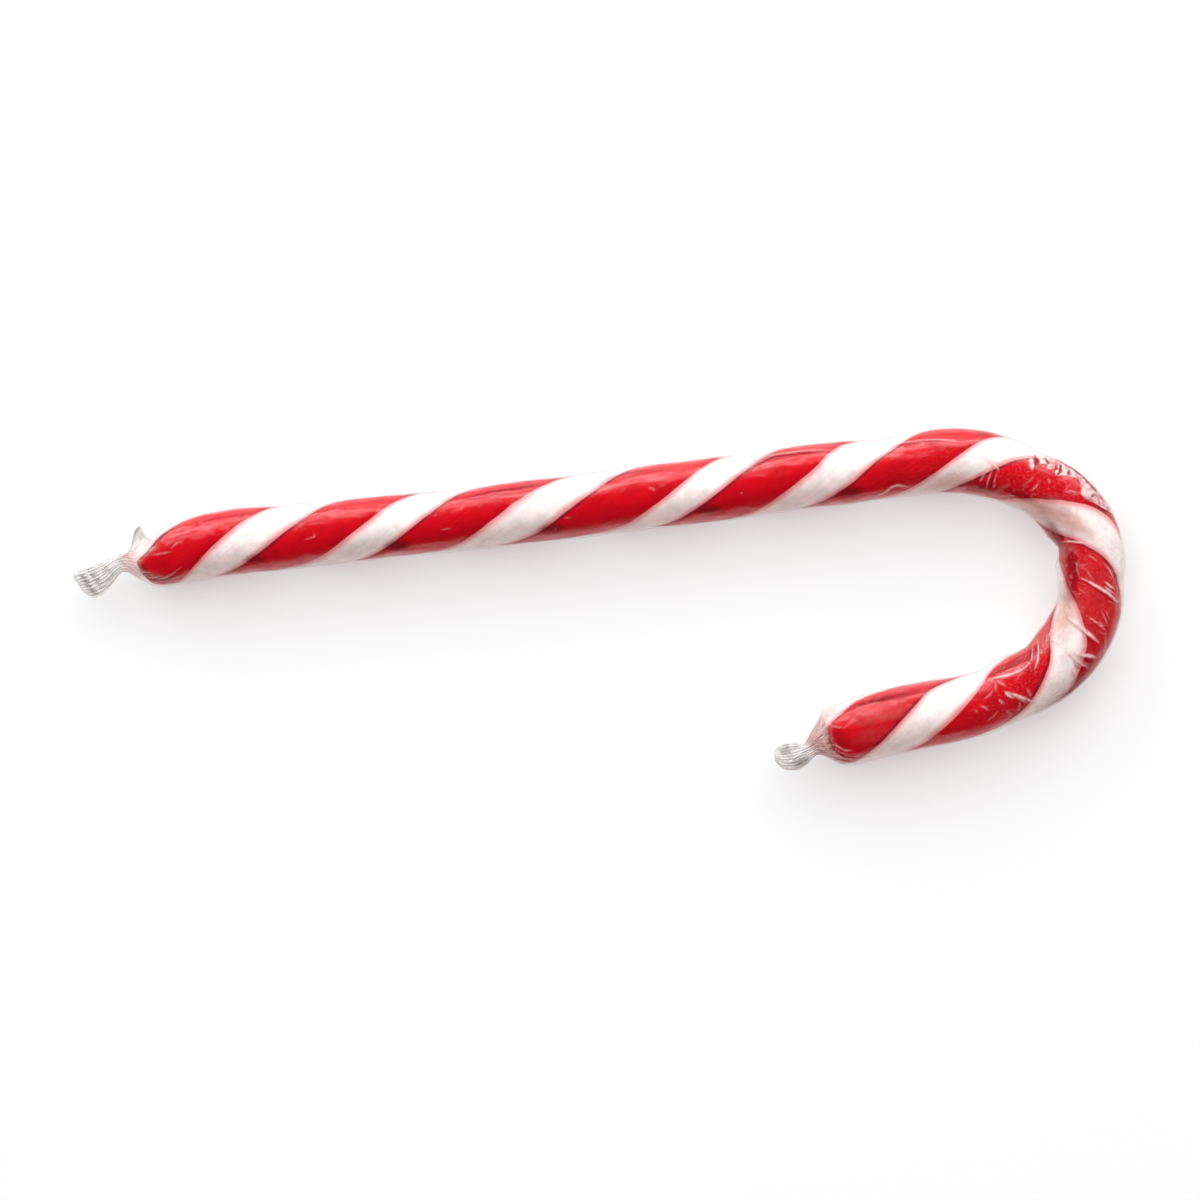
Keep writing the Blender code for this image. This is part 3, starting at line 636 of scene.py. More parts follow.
def rolled_grid(name, rings, columns, uv_name, place):
    """A grid rolled up into a closed skin.

    place takes each point's ring and column, and gives the points, the pattern's coordinates
    and any further value for each point by name.
    """
    bm = bmesh.new()
    bmesh.ops.create_grid(bm, x_segments=rings - 1, y_segments=columns, size=0.5)
    mesh = bpy.data.meshes.new(name)
    bm.to_mesh(mesh)
    flat = np.empty(len(mesh.vertices) * 3)
    mesh.vertices.foreach_get("co", flat)
    flat = flat.reshape(-1, 3) + 0.5
    ring = np.rint(flat[:, 0] * (rings - 1)).astype(int)
    column = np.rint(flat[:, 1] * columns).astype(int)
    points, pattern, values = place(ring, column)
    mesh.vertices.foreach_set("co", points.ravel())
    for value_name, value in values.items():
        layer = mesh.attributes.new(value_name, "FLOAT", "POINT")
        layer.data.foreach_set("value", value.astype(np.float32))
    corner = np.empty(len(mesh.loops), np.int32)
    mesh.loops.foreach_get("vertex_index", corner)
    uv_layer = mesh.uv_layers.new(name=uv_name)
    uv_layer.data.foreach_set("uv", pattern[corner].astype(np.float32).ravel())
    bm.clear()
    bm.from_mesh(mesh)
    bmesh.ops.remove_doubles(bm, verts=bm.verts[:], dist=1e-6)
    open_edges = [edge for edge in bm.edges if edge.is_boundary]
    if open_edges:
        capped = bmesh.ops.holes_fill(bm, edges=open_edges, sides=0)
        bmesh.ops.triangulate(bm, faces=capped["faces"])
    bmesh.ops.recalc_face_normals(bm, faces=bm.faces[:])
    bm.to_mesh(mesh)
    bm.free()
    mesh.shade_smooth()
    return add_object(name, mesh)


def uneven(points, amount, size, seed):
    """A soft random value at each point, up to an amount, with lumps of a size in millimetres."""
    shift = Vector([seed * part for part in SEED_SHIFT])
    return amount * np.array([noise.noise(Vector(point) / (size * MM) + shift) for point in points])


def crease_profile(along, across, points, width):
    """How strongly a crease through these points shows at each place: 1 on it, 0 away from it."""
    points = np.array(points)
    steps = np.diff(points, axis=0)
    lengths = np.hypot(steps[:, 0], steps[:, 1])
    strength = np.zeros(len(along))
    low = points.min(axis=0) - CREASE_REACH * width
    high = points.max(axis=0) + CREASE_REACH * width
    near = (along > low[0]) & (along < high[0]) & (across > low[1]) & (across < high[1])
    chosen = np.flatnonzero(near)
    passed = 0.0
    for start, step, length in zip(points[:-1], steps, lengths):
        offset_along = along[chosen] - start[0]
        offset_across = across[chosen] - start[1]
        share = np.clip((offset_along * step[0] + offset_across * step[1]) / length**2, 0, 1)
        distance = np.hypot(offset_along - share * step[0], offset_across - share * step[1])
        position = (passed + share * length) / lengths.sum()
        taper = np.clip(np.minimum(position, 1 - position) / CREASE_TAPER, 0, 1)
        tip_width, tip_strength = (tip + (1 - tip) * taper for tip in CREASE_TIP)
        local = bell(distance, width * tip_width) * tip_strength
        strength[chosen] = np.maximum(strength[chosen], local)
        passed += length
    return strength


def strongest_band(along, across, bands):
    """The strongest of some soft bands at each place."""
    found = [share * crease_profile(along, across, path, width) for width, share, path in bands]
    return np.max(found, axis=0)


def strongest_patch(along, across, patches):
    """The strongest of some soft oval patches at each place."""
    found = np.zeros(len(along))
    for middle, half_length, half_width, share in patches:
        reach = ((along - middle[0]) / half_length) ** 2 + ((across - middle[1]) / half_width) ** 2
        found = np.maximum(found, share * np.exp(-(reach**2)))
    return found


def random_creases():
    """Small creases laid over the film with a fixed seed: points, width, height and whiteness,
    which is partly painted highlight.
    """
    draw = np.random.default_rng(CRINKLE_SEED)
    for count, start, end, first_angle, last_angle, whitest in CRINKLES:
        for _ in range(count):
            along = draw.uniform(start, end)
            across = math.radians(draw.uniform(first_angle, last_angle)) * FILM_RADIUS
            heading = math.radians(draw.normal(*CRINKLE_HEADING))
            bend = draw.normal(0.0, CRINKLE_BEND)
            points = [(along, across)]
            for _ in range(CRINKLE_STEPS):
                step = draw.uniform(*CRINKLE_STEP)
                along += step * math.cos(heading)
                across += step * math.sin(heading)
                heading += bend
                points.append((along, across))
            width = draw.uniform(*CRINKLE_WIDTH)
            height = draw.uniform(*CRINKLE_HEIGHT)
            yield points, width, height, draw.uniform(*CRINKLE_STRENGTH) * whitest


def film_marks(along, across, round_across, broken):
    """How far creases and folds raise the film, and how bright and how dark they are drawn: a
    crease's whitening, partly real and partly painted highlight, and painted shade in folds.
    """
    raised, crease_and_highlight, painted_shade = np.zeros((3, len(along)))
    for width, height, whiteness, path in CREASES:
        strength = crease_profile(along, across, path, width) * broken
        raised += height * strength
        crease_and_highlight = np.maximum(crease_and_highlight, min(CREASE_WHITENESS * whiteness, 1.0) * strength)
        shade = crease_profile(along - SHADE_OFFSET * width, across, path, SHADE_WIDTH * width)
        painted_shade = np.maximum(painted_shade, SHADE_DARKNESS * whiteness * shade * (1 - strength) ** 2)
    for width, depth, darkness, path in FOLDS:
        strength = crease_profile(along, across, path, width)
        raised -= depth * strength
        painted_shade = np.maximum(painted_shade, darkness * strength)
    for path, width, height, whiteness in random_creases():
        strength = crease_profile(along, round_across, path, width) * broken
        raised += height * strength
        crease_and_highlight = np.maximum(crease_and_highlight, whiteness * strength)
    return raised, crease_and_highlight, painted_shade


def make_candy_mesh(settings):
    """The stick of boiled sugar, with its faces laid along the strands."""
    places = spaced(CANDY_RINGS)
    red_steps = np.arange(RED_COLUMNS) / RED_COLUMNS * RED_SHARE
    white_steps = RED_SHARE + np.arange(WHITE_COLUMNS) / WHITE_COLUMNS * (1 - RED_SHARE)
    pair = np.concatenate((red_steps, white_steps))
    phases = np.concatenate((pair, pair + 1.0, [2.0]))
    lower = strand_edge(places, LOWER_EDGES)
    upper = strand_edge(places, UPPER_EDGES)
    left, _, leftward, rightward, thickness, _ = film_section(places)
    from_end = np.minimum(places - places[0], places[-1] - places)
    rounding = np.sqrt(1 - (1 - np.clip(from_end / CANDY_NOSE, 0, 1)) ** 2)

    def place(ring, column):
        along = places[ring]
        phase = phases[column]
        half = np.minimum(np.floor(phase), 1.0)
        share = phase - half
        in_red = lower[ring] + (upper[ring] - lower[ring]) * share / RED_SHARE
        white_width = lower[ring] + HALF_TURN - upper[ring]
        in_white = upper[ring] + white_width * (share - RED_SHARE) / (1 - RED_SHARE)
        angle = np.where(share < RED_SHARE, in_red, in_white) + half * HALF_TURN
        sine, cosine = np.sin(angle), np.cos(angle)

        bulge = strand_bulge(share)
        radius = settings.white_radius + (settings.red_radius - settings.white_radius) * bulge
        radius += (SIDE_FULLNESS[0] + SIDE_FULLNESS[1] * (1 - bulge)) * MM * sine**2
        from_groove = np.minimum(np.abs(share - RED_SHARE), np.minimum(share, 1 - share))
        groove = settings.groove_depth / MM * bell(from_groove, GROOVE_REACH)
        radius = radius / MM - groove
        reach = np.where(
            sine > 0,
            np.minimum(leftward[ring], FILM_RADIUS + CANDY_SLACK[0]),
            np.minimum(rightward[ring], FILM_RADIUS + CANDY_SLACK[1]),
        )
        film_share = (reach - FILM_GAP) / (FILM_RADIUS - FILM_GAP)
        height_share = (thickness[ring] - FILM_GAP) / (FILM_RADIUS - FILM_GAP)
        across = radius * film_share * rounding[ring] * sine
        up = radius * height_share * rounding[ring] * cosine
        smooth = beside_line(along, left[ring] + across, up)
        lumps = 1.0 + uneven(smooth, *CANDY_LUMPS)
        points = beside_line(along, left[ring] + across * lumps, up * lumps)
        points[:, 2] = np.maximum(points[:, 2], CANDY_FLOOR * MM)

        seen_across = np.where(cosine > SEEN_COSINE, left[ring] + across, OUT_OF_SIGHT)
        shade_and_dull = strongest_band(along, seen_across, SHADE_AND_DULL_BANDS)
        return points, np.column_stack((along * MM, phase)), {"shade_and_dull": shade_and_dull}

    return rolled_grid("candy_stick", len(places), len(phases) - 1, "Strands", place)


def make_film_mesh(settings):
    """The clear film: one closed skin round the candy, drawn in and bunched at both ends."""
    places = spaced(FILM_RINGS)
    side_columns = BOTTOM_COLUMNS // 2
    first_side = np.linspace(-180, -90, side_columns, endpoint=False)
    over_top = np.linspace(-90, 90, TOP_COLUMNS, endpoint=False)
    last_side = np.linspace(90, 180, side_columns + 1)
    angles = np.radians(np.concatenate((first_side, over_top, last_side)))
    left, lean, leftward, rightward, thickness, pleat = film_section(places)
    gather, bunched, ear, shoulder = (
        look_up(table, places) for table in (GATHERS, BUNCHED, EAR, SHOULDER)
    )
    looser = settings.film_radius / MM - FILM_RADIUS
    lower = strand_edge(places, LOWER_EDGES)
    upper = strand_edge(places, UPPER_EDGES)
    dip = np.clip((thickness - DIP_START) / DIP_EASE, 0, 1)

    def place(ring, column):
        along = places[ring]
        degrees = np.degrees(angles[column])
        around = angles[column] * FILM_RADIUS
        angle = np.where(column == len(angles) - 1, -HALF_TURN, angles[column])
        sine, cosine = np.sin(angle), np.cos(angle)

        crosswise = np.where(sine > 0, leftward[ring], rightward[ring]) * sine
        above = cosine * thickness[ring]
        flat_along = along - np.sin(lean[ring]) * crosswise
        flat_left = left[ring] + np.cos(lean[ring]) * crosswise
        rough = beside_line(flat_along, flat_left, above)
        patchy = uneven(rough, *PATCHES)
        wave = PLEAT_COUNT * sine * HALF_TURN + PLEAT_TWIST * along + uneven(rough, *PLEAT_DRIFT)
        pleat_share = np.clip(PLEAT_SHARE + PLEAT_SWING * patchy, *PLEAT_LIMITS)
        above = above + pleat[ring] * np.sin(wave) * pleat_share

        gathers = GATHER_COUNT * angle + GATHER_SWAY * np.sin(2 * angle) + GATHER_TWIST * along
        outward = looser + gather[ring] * np.cos(gathers)
        bulge = strand_bulge(strand_share(angle, lower[ring], upper[ring]))
        outward -= FILM_DIP * (1 - bulge) * np.clip(cosine, 0, 1) * dip[ring]
        unrolled = np.column_stack((along, angle * FILM_RADIUS, np.zeros(len(along)))) * MM
        ripples = uneven(unrolled * RIPPLE_STRETCH, *LONG_RIPPLES) * (np.abs(degrees) < RIPPLE_END)
        lumps = uneven(rough, *FINE_LUMPS) + uneven(rough, *BROAD_LUMPS) + ripples
        outward += np.maximum(lumps, -DEEPEST_LUMP)

        top = cosine > SEEN_COSINE
        seen_across = np.where(top, flat_left, OUT_OF_SIGHT)
        past_left = np.where(angle < -HALF_TURN / 2, angle + 2 * HALF_TURN, angle)
        broken = np.clip(BROKEN_SHARE + uneven(rough, *BREAKS), *BROKEN_LIMITS)
        raised, crease_and_highlight, painted_shade = film_marks(flat_along, seen_across, past_left * FILM_RADIUS, broken)
        outward += settings.crease_height * raised
        painted_shade = np.maximum(painted_shade, strongest_patch(flat_along, seen_across, SHADES) * broken)
        edge = np.interp(flat_along, *zip(*POCKET_EDGE), left=OUT_OF_SIGHT, right=OUT_OF_SIGHT)
        pocket = np.clip((seen_across - edge) / POCKET_SOFTNESS, 0, 1) * top
        over_side = cosine + POCKET_OVERHANG + POCKET_RAGGED * patchy
        pocket *= np.clip(over_side / POCKET_FADE, 0, 1)
        clouds = strongest_patch(flat_along, seen_across, CLOUDS)

        sideways = ear[ring] * bell(degrees - 90, EAR_SPREAD)
        sideways -= shoulder[ring] * bell(degrees + 90, SHOULDER_SPREAD)
        left_out = flat_left + outward * sine + sideways
        points = beside_line(flat_along, left_out, above + outward * cosine)
        points[:, 2] = np.maximum(points[:, 2], FILM_FLOOR * MM)
        on_ear = np.clip(sideways / EAR_START, 0, 1)
        loose = np.maximum(bunched[ring], EAR_HAZE * on_ear)
        values = {
            "crease_and_highlight": crease_and_highlight,
            "painted_shade": np.maximum(painted_shade, EAR_RIM_SHADE * (on_ear * bell(degrees - 90, EAR_RIM))),
            "cloud": np.maximum(clouds, POCKET_CLOUD * pocket),
            "bunched": np.maximum(loose, strongest_band(flat_along, seen_across, COLLARS)),
            "away": np.maximum(look_up(AWAY_FROM_CANDY, along), on_ear),
            "crumpled": look_up(CRUMPLED, along),
        }
        return points, np.column_stack((along, around)) * MM, values

    return rolled_grid("clear_wrap", len(places), len(angles) - 1, "Film", place)


# --- materials ---


def opaque(colour):
    """The colour with nothing showing through it, as nodes take it."""
    return (*colour[:3], 1.0)


def blended(first, second, share):
    """A colour between two, with a share of the second."""
    return tuple((1 - share) * one + share * other for one, other in zip(first, second))


def add_node(tree, kind, inputs=None, **settings):
    """A new node, with its inputs set to values or linked from other nodes' outputs."""
    made = tree.nodes.new(kind)
    for name, value in settings.items():
        setattr(made, name, value)
    for name, value in (inputs or {}).items():
        if isinstance(value, bpy.types.NodeSocket):
            tree.links.new(value, made.inputs[name])
        else:
            made.inputs[name].default_value = value
    return made


def add_math(tree, operation, *values, clamp=False):
    """The result of a Math node over values or other nodes' outputs."""
    settings = {"operation": operation, "use_clamp": clamp}
    return add_node(tree, "ShaderNodeMath", dict(enumerate(values)), **settings).outputs[0]


def add_noise(tree, place, scale, detail=2.0, roughness=0.5, stretch=None):
    """Soft noise over places, which stretch scales along each axis first."""
    if stretch:
        mapping = add_node(tree, "ShaderNodeMapping", {"Vector": place, "Scale": stretch})
        place = mapping.outputs[0]
    inputs = {"Vector": place, "Scale": scale, "Detail": detail, "Roughness": roughness}
    return add_node(tree, "ShaderNodeTexNoise", inputs).outputs["Fac"]


def add_range(tree, value, low, high, to_low, to_high):
    """A value with its range from low to high turned into another, and held inside it."""
    inputs = {"Value": value, "From Min": low, "From Max": high}
    inputs |= {"To Min": to_low, "To Max": to_high}
    return add_node(tree, "ShaderNodeMapRange", inputs).outputs[0]


def mix_colours(tree, share, first, second, blend="MIX"):
    """The mix of two colours, each given as numbers or as a node's output."""
    inputs = {0: share}
    for name, colour in ((6, first), (7, second)):
        inputs[name] = colour if isinstance(colour, bpy.types.NodeSocket) else opaque(colour)
    mix = add_node(tree, "ShaderNodeMix", inputs, data_type="RGBA", blend_type=blend)
    return mix.outputs[2]


def colour_ramp(tree, share, *stops):
    """A ramp of colours over a share from 0 to 1."""
    ramp = add_node(tree, "ShaderNodeValToRGB", {"Fac": share})
    elements = ramp.color_ramp.elements
    for element, (position, colour) in zip(elements, (stops[0], stops[-1])):
        element.position, element.color = position, opaque(colour)
    for position, colour in stops[1:-1]:
        elements.new(position).color = opaque(colour)
    return ramp.outputs["Color"]


def new_material(name):
    """An empty material made of nodes: itself, its nodes, and object coordinates."""
    material = bpy.data.materials.new(name)
    material.use_nodes = True
    tree = material.node_tree
    tree.nodes.clear()
    return material, tree, add_node(tree, "ShaderNodeTexCoord").outputs["Object"]


def finish_material(tree, shader):
    """Ends a material's nodes with its surface shader."""
    add_node(tree, "ShaderNodeOutputMaterial", {"Surface": shader.outputs[0]})


def ripple_group():
    """The soft unevenness that the sugar and the film share, as a height."""
    found = bpy.data.node_groups.get("Soft ripples")
    if found:
        return found
    group = bpy.data.node_groups.new("Soft ripples", "ShaderNodeTree")
    group.interface.new_socket("Vector", in_out="INPUT", socket_type="NodeSocketVector")
    for name, value in (("Broad size", 120.0), ("Fine size", 900.0), ("Fine share", 0.3)):
        socket = group.interface.new_socket(name, in_out="INPUT", socket_type="NodeSocketFloat")
        socket.default_value = value
    group.interface.new_socket("Height", in_out="OUTPUT", socket_type="NodeSocketFloat")
    given = group.nodes.new("NodeGroupInput").outputs
    broad = add_noise(group, given["Vector"], given["Broad size"])
    fine = add_noise(group, given["Vector"], given["Fine size"])
    fine_part = add_math(group, "MULTIPLY", fine, given["Fine share"])
    add_node(group, "NodeGroupOutput", {"Height": add_math(group, "ADD", broad, fine_part)})
    return group


def add_ripples(tree, place, broad, fine, share):
    """The height output of the ripples group with its own values."""
    inputs = {"Vector": place, "Broad size": broad, "Fine size": fine, "Fine share": share}
    return add_node(tree, "ShaderNodeGroup", inputs, node_tree=ripple_group()).outputs["Height"]


def sugar_material(settings):
    """Glossy boiled sugar: the strands' colours, the bleed between them, painted shade in the
    grooves between them, fine pulled streaks, and bands of painted shade and dull film.
    """
    material, tree, place = new_material("boiled sugar")
    strands = add_node(tree, "ShaderNodeUVMap", uv_map="Strands").outputs["UV"]
    across = add_node(tree, "ShaderNodeSeparateXYZ", {0: strands}).outputs["Y"]
    wander = add_noise(tree, place, 330.0, detail=3.0)
    shift = add_math(tree, "MULTIPLY_ADD", wander, EDGE_WANDER, -EDGE_WANDER / 2)
    share = add_math(tree, "FRACT", add_math(tree, "ADD", across, shift))

    red, white, bleed = settings.red, settings.white, settings.bleed
    soft_groove_shade = blended(red, settings.groove_shade, 0.5)
    blush = blended(white, bleed, 0.45)
    # The dark line at the strands' edges is painted shade in the groove between them.
    colour = colour_ramp(
        tree,
        share,
        (0.0, soft_groove_shade),
        (0.028, red),
        (RED_SHARE - 0.050, red),
        (RED_SHARE - 0.022, settings.groove_shade),
        (RED_SHARE - 0.004, settings.groove_shade),
        (RED_SHARE + 0.008, bleed),
        (RED_SHARE + 0.020, bleed),
        (RED_SHARE + 0.042, blush),
        (RED_SHARE + 0.070, white),
        (0.915, white),
        (0.948, blush),
        (0.972, bleed),
        (0.990, bleed),
        (1.0, soft_groove_shade),
    )
    streaks = add_noise(tree, strands, 1.0, detail=4.0, roughness=0.6, stretch=(90.0, 26.0, 1.0))
    streak_tone = colour_ramp(tree, streaks, (0.32, STREAK_TONE), (0.66, PURE_WHITE))
    colour = mix_colours(tree, settings.streaks, colour, streak_tone, "MULTIPLY")
    blotches = add_noise(tree, place, 420.0, detail=3.0, roughness=0.65)
    blotch_tone = colour_ramp(tree, blotches, (0.36, BLOTCH_TONE), (0.60, PURE_WHITE))
    colour = mix_colours(tree, settings.mottle, colour, blotch_tone, "MULTIPLY")
    # Darker, warmer bands on the lower side of the bend: painted shade, with the look of the dull
    # film over it.
    shade_and_dull = add_node(tree, "ShaderNodeAttribute", attribute_name="shade_and_dull").outputs["Fac"]
    colour = mix_colours(tree, shade_and_dull, colour, settings.shade_and_dull_tint, "MULTIPLY")

    height = add_ripples(tree, place, broad=260.0, fine=1400.0, share=0.12)
    bump = {"Height": height, "Strength": 0.10, "Distance": 0.0003}
    inputs = {
        "Base Color": colour,
        "Roughness": add_range(tree, streaks, 0.0, 1.0, 0.22, 0.38),
        "Specular IOR Level": 0.18,
        "Subsurface Weight": settings.depth,
        "Subsurface Radius": (1.0, 0.34, 0.30),
        "Subsurface Scale": 1.1 * MM,
        "Normal": add_node(tree, "ShaderNodeBump", bump).outputs[0],
    }
    finish_material(tree, add_node(tree, "ShaderNodeBsdfPrincipled", inputs))
    return material


def film_material(settings):
    """Clear glossy film: nearly invisible face on, mirror-like at a slant, cloudy where creased,
    with painted highlights, glints, shade and pink reflection in its colour.
    """
    material, tree, place = new_material("clear film")
    unrolled = add_node(tree, "ShaderNodeUVMap", uv_map="Film").outputs["UV"]
    crease_and_highlight, painted_shade, cloud, bunched, away, crumpled = (
        add_node(tree, "ShaderNodeAttribute", attribute_name=name).outputs["Fac"]
        for name in ("crease_and_highlight", "painted_shade", "cloud", "bunched", "away", "crumpled")
    )
    waves = add_ripples(tree, place, broad=230.0, fine=700.0, share=0.30)
    crumples = add_ripples(tree, place, broad=1100.0, fine=2600.0, share=0.6)
    crumples = add_math(tree, "MULTIPLY", crumples, crumpled)
    height = add_math(tree, "MULTIPLY_ADD", crumples, CRUMPLE_SHARE, waves)
    bump = {"Height": height, "Strength": 0.6, "Distance": 0.0012}
    bump = add_node(tree, "ShaderNodeBump", bump).outputs[0]

    facing = add_node(tree, "ShaderNodeLayerWeight", {"Blend": 0.5}).outputs["Facing"]
    edge_on = add_math(tree, "POWER", facing, RIM_POWER)
    rim = add_math(tree, "MULTIPLY", edge_on, settings.rim_tone, clamp=True)
    rim_colour = mix_colours(tree, rim, PURE_WHITE, settings.rim_tint)
    clear = add_node(tree, "ShaderNodeBsdfTransparent", {"Color": rim_colour}).outputs[0]
    inputs = {"Color": opaque(PURE_WHITE), "Roughness": 0.20, "Normal": bump}
    gloss = add_node(tree, "ShaderNodeBsdfAnisotropic", inputs).outputs[0]
    slant = add_node(tree, "ShaderNodeFresnel", {"IOR": 1.5, "Normal": bump}).outputs[0]
    both_faces = add_math(tree, "MULTIPLY", slant, settings.shine, clamp=True)
    inner_side = add_node(tree, "ShaderNodeNewGeometry").outputs["Backfacing"]
    outer_side = add_math(tree, "SUBTRACT", 1.0, inner_side)
    pull = add_noise(tree, unrolled, 1.0, detail=3.0, stretch=(130.0, 1500.0, 1.0))
    uneven_shine = add_range(tree, pull, 0.34, 0.60, 0.45, 1.12)
    mirror = add_math(tree, "MULTIPLY", both_faces, outer_side)
    mirror = add_math(tree, "MULTIPLY", mirror, uneven_shine)
    skin = add_node(tree, "ShaderNodeMixShader", {0: mirror, 1: clear, 2: gloss}).outputs[0]

    grain = add_noise(tree, place, 1200.0)
    patchy = add_range(tree, grain, 0.35, 0.65, 0.35, 1.0)
    cloudiness = add_math(tree, "MULTIPLY", cloud, patchy)
    streak = add_noise(tree, unrolled, 1.0, stretch=(420.0, 2600.0, 1.0))
    streaky = add_range(tree, streak, 0.35, 0.65, 0.35, 1.25)
    gathers = add_math(tree, "MULTIPLY", bunched, streaky)
    # Pale specks where the film is crumpled: painted glints of its tiny crinkles.
    glint_noise = add_noise(tree, place, 3300.0, detail=1.0)
    painted_glints = add_math(tree, "MULTIPLY", add_range(tree, glint_noise, 0.52, 0.72, 0.0, 0.10), crumpled)
    cover = crease_and_highlight
    for mask in (painted_glints, gathers, cloudiness):
        cover = add_math(tree, "MAXIMUM", cover, mask)
    cover = add_math(tree, "MAXIMUM", cover, painted_shade, clamp=True)

    some_cover = add_math(tree, "MAXIMUM", cover, LEAST_COVER)
    crease_and_highlight_share = add_math(tree, "DIVIDE", crease_and_highlight, some_cover, clamp=True)
    painted_shade_share = add_math(tree, "DIVIDE", painted_shade, some_cover, clamp=True)
    glinting = add_math(tree, "MULTIPLY", painted_glints, GLINT_PALENESS)
    paleness = add_math(tree, "MAXIMUM", cloud, glinting, clamp=True)
    # Near the candy the film takes a painted pink reflection of it.
    collar = mix_colours(tree, paleness, settings.collar_reflection_tint, settings.haze_tint)
    gathered = mix_colours(tree, away, collar, settings.bunched_tint)
    bright = mix_colours(tree, away, settings.crease_and_highlight_tint, CREASE_AND_HIGHLIGHT_AWAY)
    pale = mix_colours(tree, crease_and_highlight_share, gathered, bright)
    dark = mix_colours(tree, away, settings.painted_shade_tint, PAINTED_SHADE_AWAY)
    streak_shade = colour_ramp(tree, streak, (0.38, BUNCHED_SHADE), (0.52, PURE_WHITE))
    streaked = mix_colours(tree, 1.0, pale, streak_shade, "MULTIPLY")
    shaded = mix_colours(tree, bunched, pale, streaked)
    # The haze: the film's own cloudiness, with painted highlights, glints, shade and reflection.
    inputs = {
        "Base Color": mix_colours(tree, painted_shade_share, shaded, dark),
        "Roughness": 0.25,
        "Specular IOR Level": add_range(tree, painted_shade, 0.0, 0.5, 0.5, 0.0),
        "Normal": bump,
    }
    haze_and_painted_light = add_node(tree, "ShaderNodeBsdfPrincipled", inputs).outputs[0]
    mixed = add_node(tree, "ShaderNodeMixShader", {0: cover, 1: skin, 2: haze_and_painted_light})
    finish_material(tree, mixed)
    return material


def table_material(settings):
    """A pale table lit softly from below, with a very faint tooth."""
    material, tree, place = new_material("pale light table")
    pale = settings.floor_colour
    darker = tuple(FLOOR_GRAIN * part for part in pale)
    inputs = {
        "Base Color": mix_colours(tree, add_noise(tree, place, 900.0), pale, darker),
        "Roughness": 0.85,
        "Specular IOR Level": 0.1,
        "Emission Color": opaque(PURE_WHITE),
        "Emission Strength": settings.floor_glow,
    }
    finish_material(tree, add_node(tree, "ShaderNodeBsdfPrincipled", inputs))
    return material


# --- the stage ---


def area_light(name, radiance, in_gloss=False):
    """A soft panel of light that the camera doesn't see."""
    place, aim, size = PANELS[name]
    data = bpy.data.lights.new(name, "AREA")
    data.shape = "RECTANGLE"
    data.size, data.size_y = size
    data.energy = radiance * math.pi * size[0] * size[1]
    light = add_object(name, data)
    light.location = place
    light.rotation_euler = (Vector(aim) - Vector(place)).to_track_quat("-Z", "Y").to_euler()
    light.visible_camera = False
    light.visible_glossy = in_gloss
    return light


def make_world(settings):
    """A room that is dim in the reflections, brighter on matt surfaces, and pale behind it all."""
    world = bpy.data.worlds.new("studio")
    bpy.context.scene.world = world
    world.use_nodes = True
    tree = world.node_tree
    tree.nodes.clear()
    rays = add_node(tree, "ShaderNodeLightPath").outputs

    def even_light(strength):
        inputs = {"Color": opaque(PURE_WHITE), "Strength": strength}
        return add_node(tree, "ShaderNodeBackground", inputs).outputs[0]

    room = even_light(settings.room_light)
    for ray, strength in (("Is Glossy Ray", settings.room_gloss), ("Is Camera Ray", ROOM_BEHIND)):
        inputs = {0: rays[ray], 1: room, 2: even_light(strength)}
        room = add_node(tree, "ShaderNodeMixShader", inputs).outputs[0]
    add_node(tree, "ShaderNodeOutputWorld", {"Surface": room})


def make_floor(settings):
    """The flat pale table that the cane lies on."""
    bm = bmesh.new()
    bmesh.ops.create_grid(bm, x_segments=1, y_segments=1, size=settings.floor_size / 2)
    mesh = bpy.data.meshes.new("floor")
    bm.to_mesh(mesh)
    bm.free()
    mesh.materials.append(table_material(settings))
    floor = add_object("floor", mesh)


def make_camera(settings):
    """A long lens straight above the cane, turned a little so that the shaft rises to the right."""
    data = bpy.data.cameras.new("camera")
    data.sensor_width = SENSOR_WIDTH
    data.lens = data.sensor_width * settings.camera_height / settings.view_width
    data.clip_start = 0.01
    camera = add_object("camera", data)
    low, high = (Vector(corner) for corner in CAD_BOUNDS)
    middle = (low + high) / 2
    camera.location = (
        middle.x + CAMERA_SHIFT[0] * MM,
        middle.y + CAMERA_SHIFT[1] * MM,
        LINE_HEIGHT * MM + settings.camera_height,
    )
    camera.rotation_euler = (0.0, 0.0, settings.camera_turn)
    bpy.context.scene.camera = camera


# --- what a user would change ---


def colour_property(name, description, default):
    shared = {"size": 3, "min": 0.0, "max": 1.0, "subtype": "COLOR"}
    return FloatVectorProperty(name=name, description=description, default=default, **shared)


def length_property(name, description, default, low=0.0, high=1.0):
    shared = {"min": low, "max": high, "precision": 5, "subtype": "DISTANCE", "unit": "LENGTH"}
    return FloatProperty(name=name, description=description, default=default, **shared)


def amount_property(name, description, default, high=100.0):
    limits = {"min": 0.0, "max": high}
    return FloatProperty(name=name, description=description, default=default, **limits)


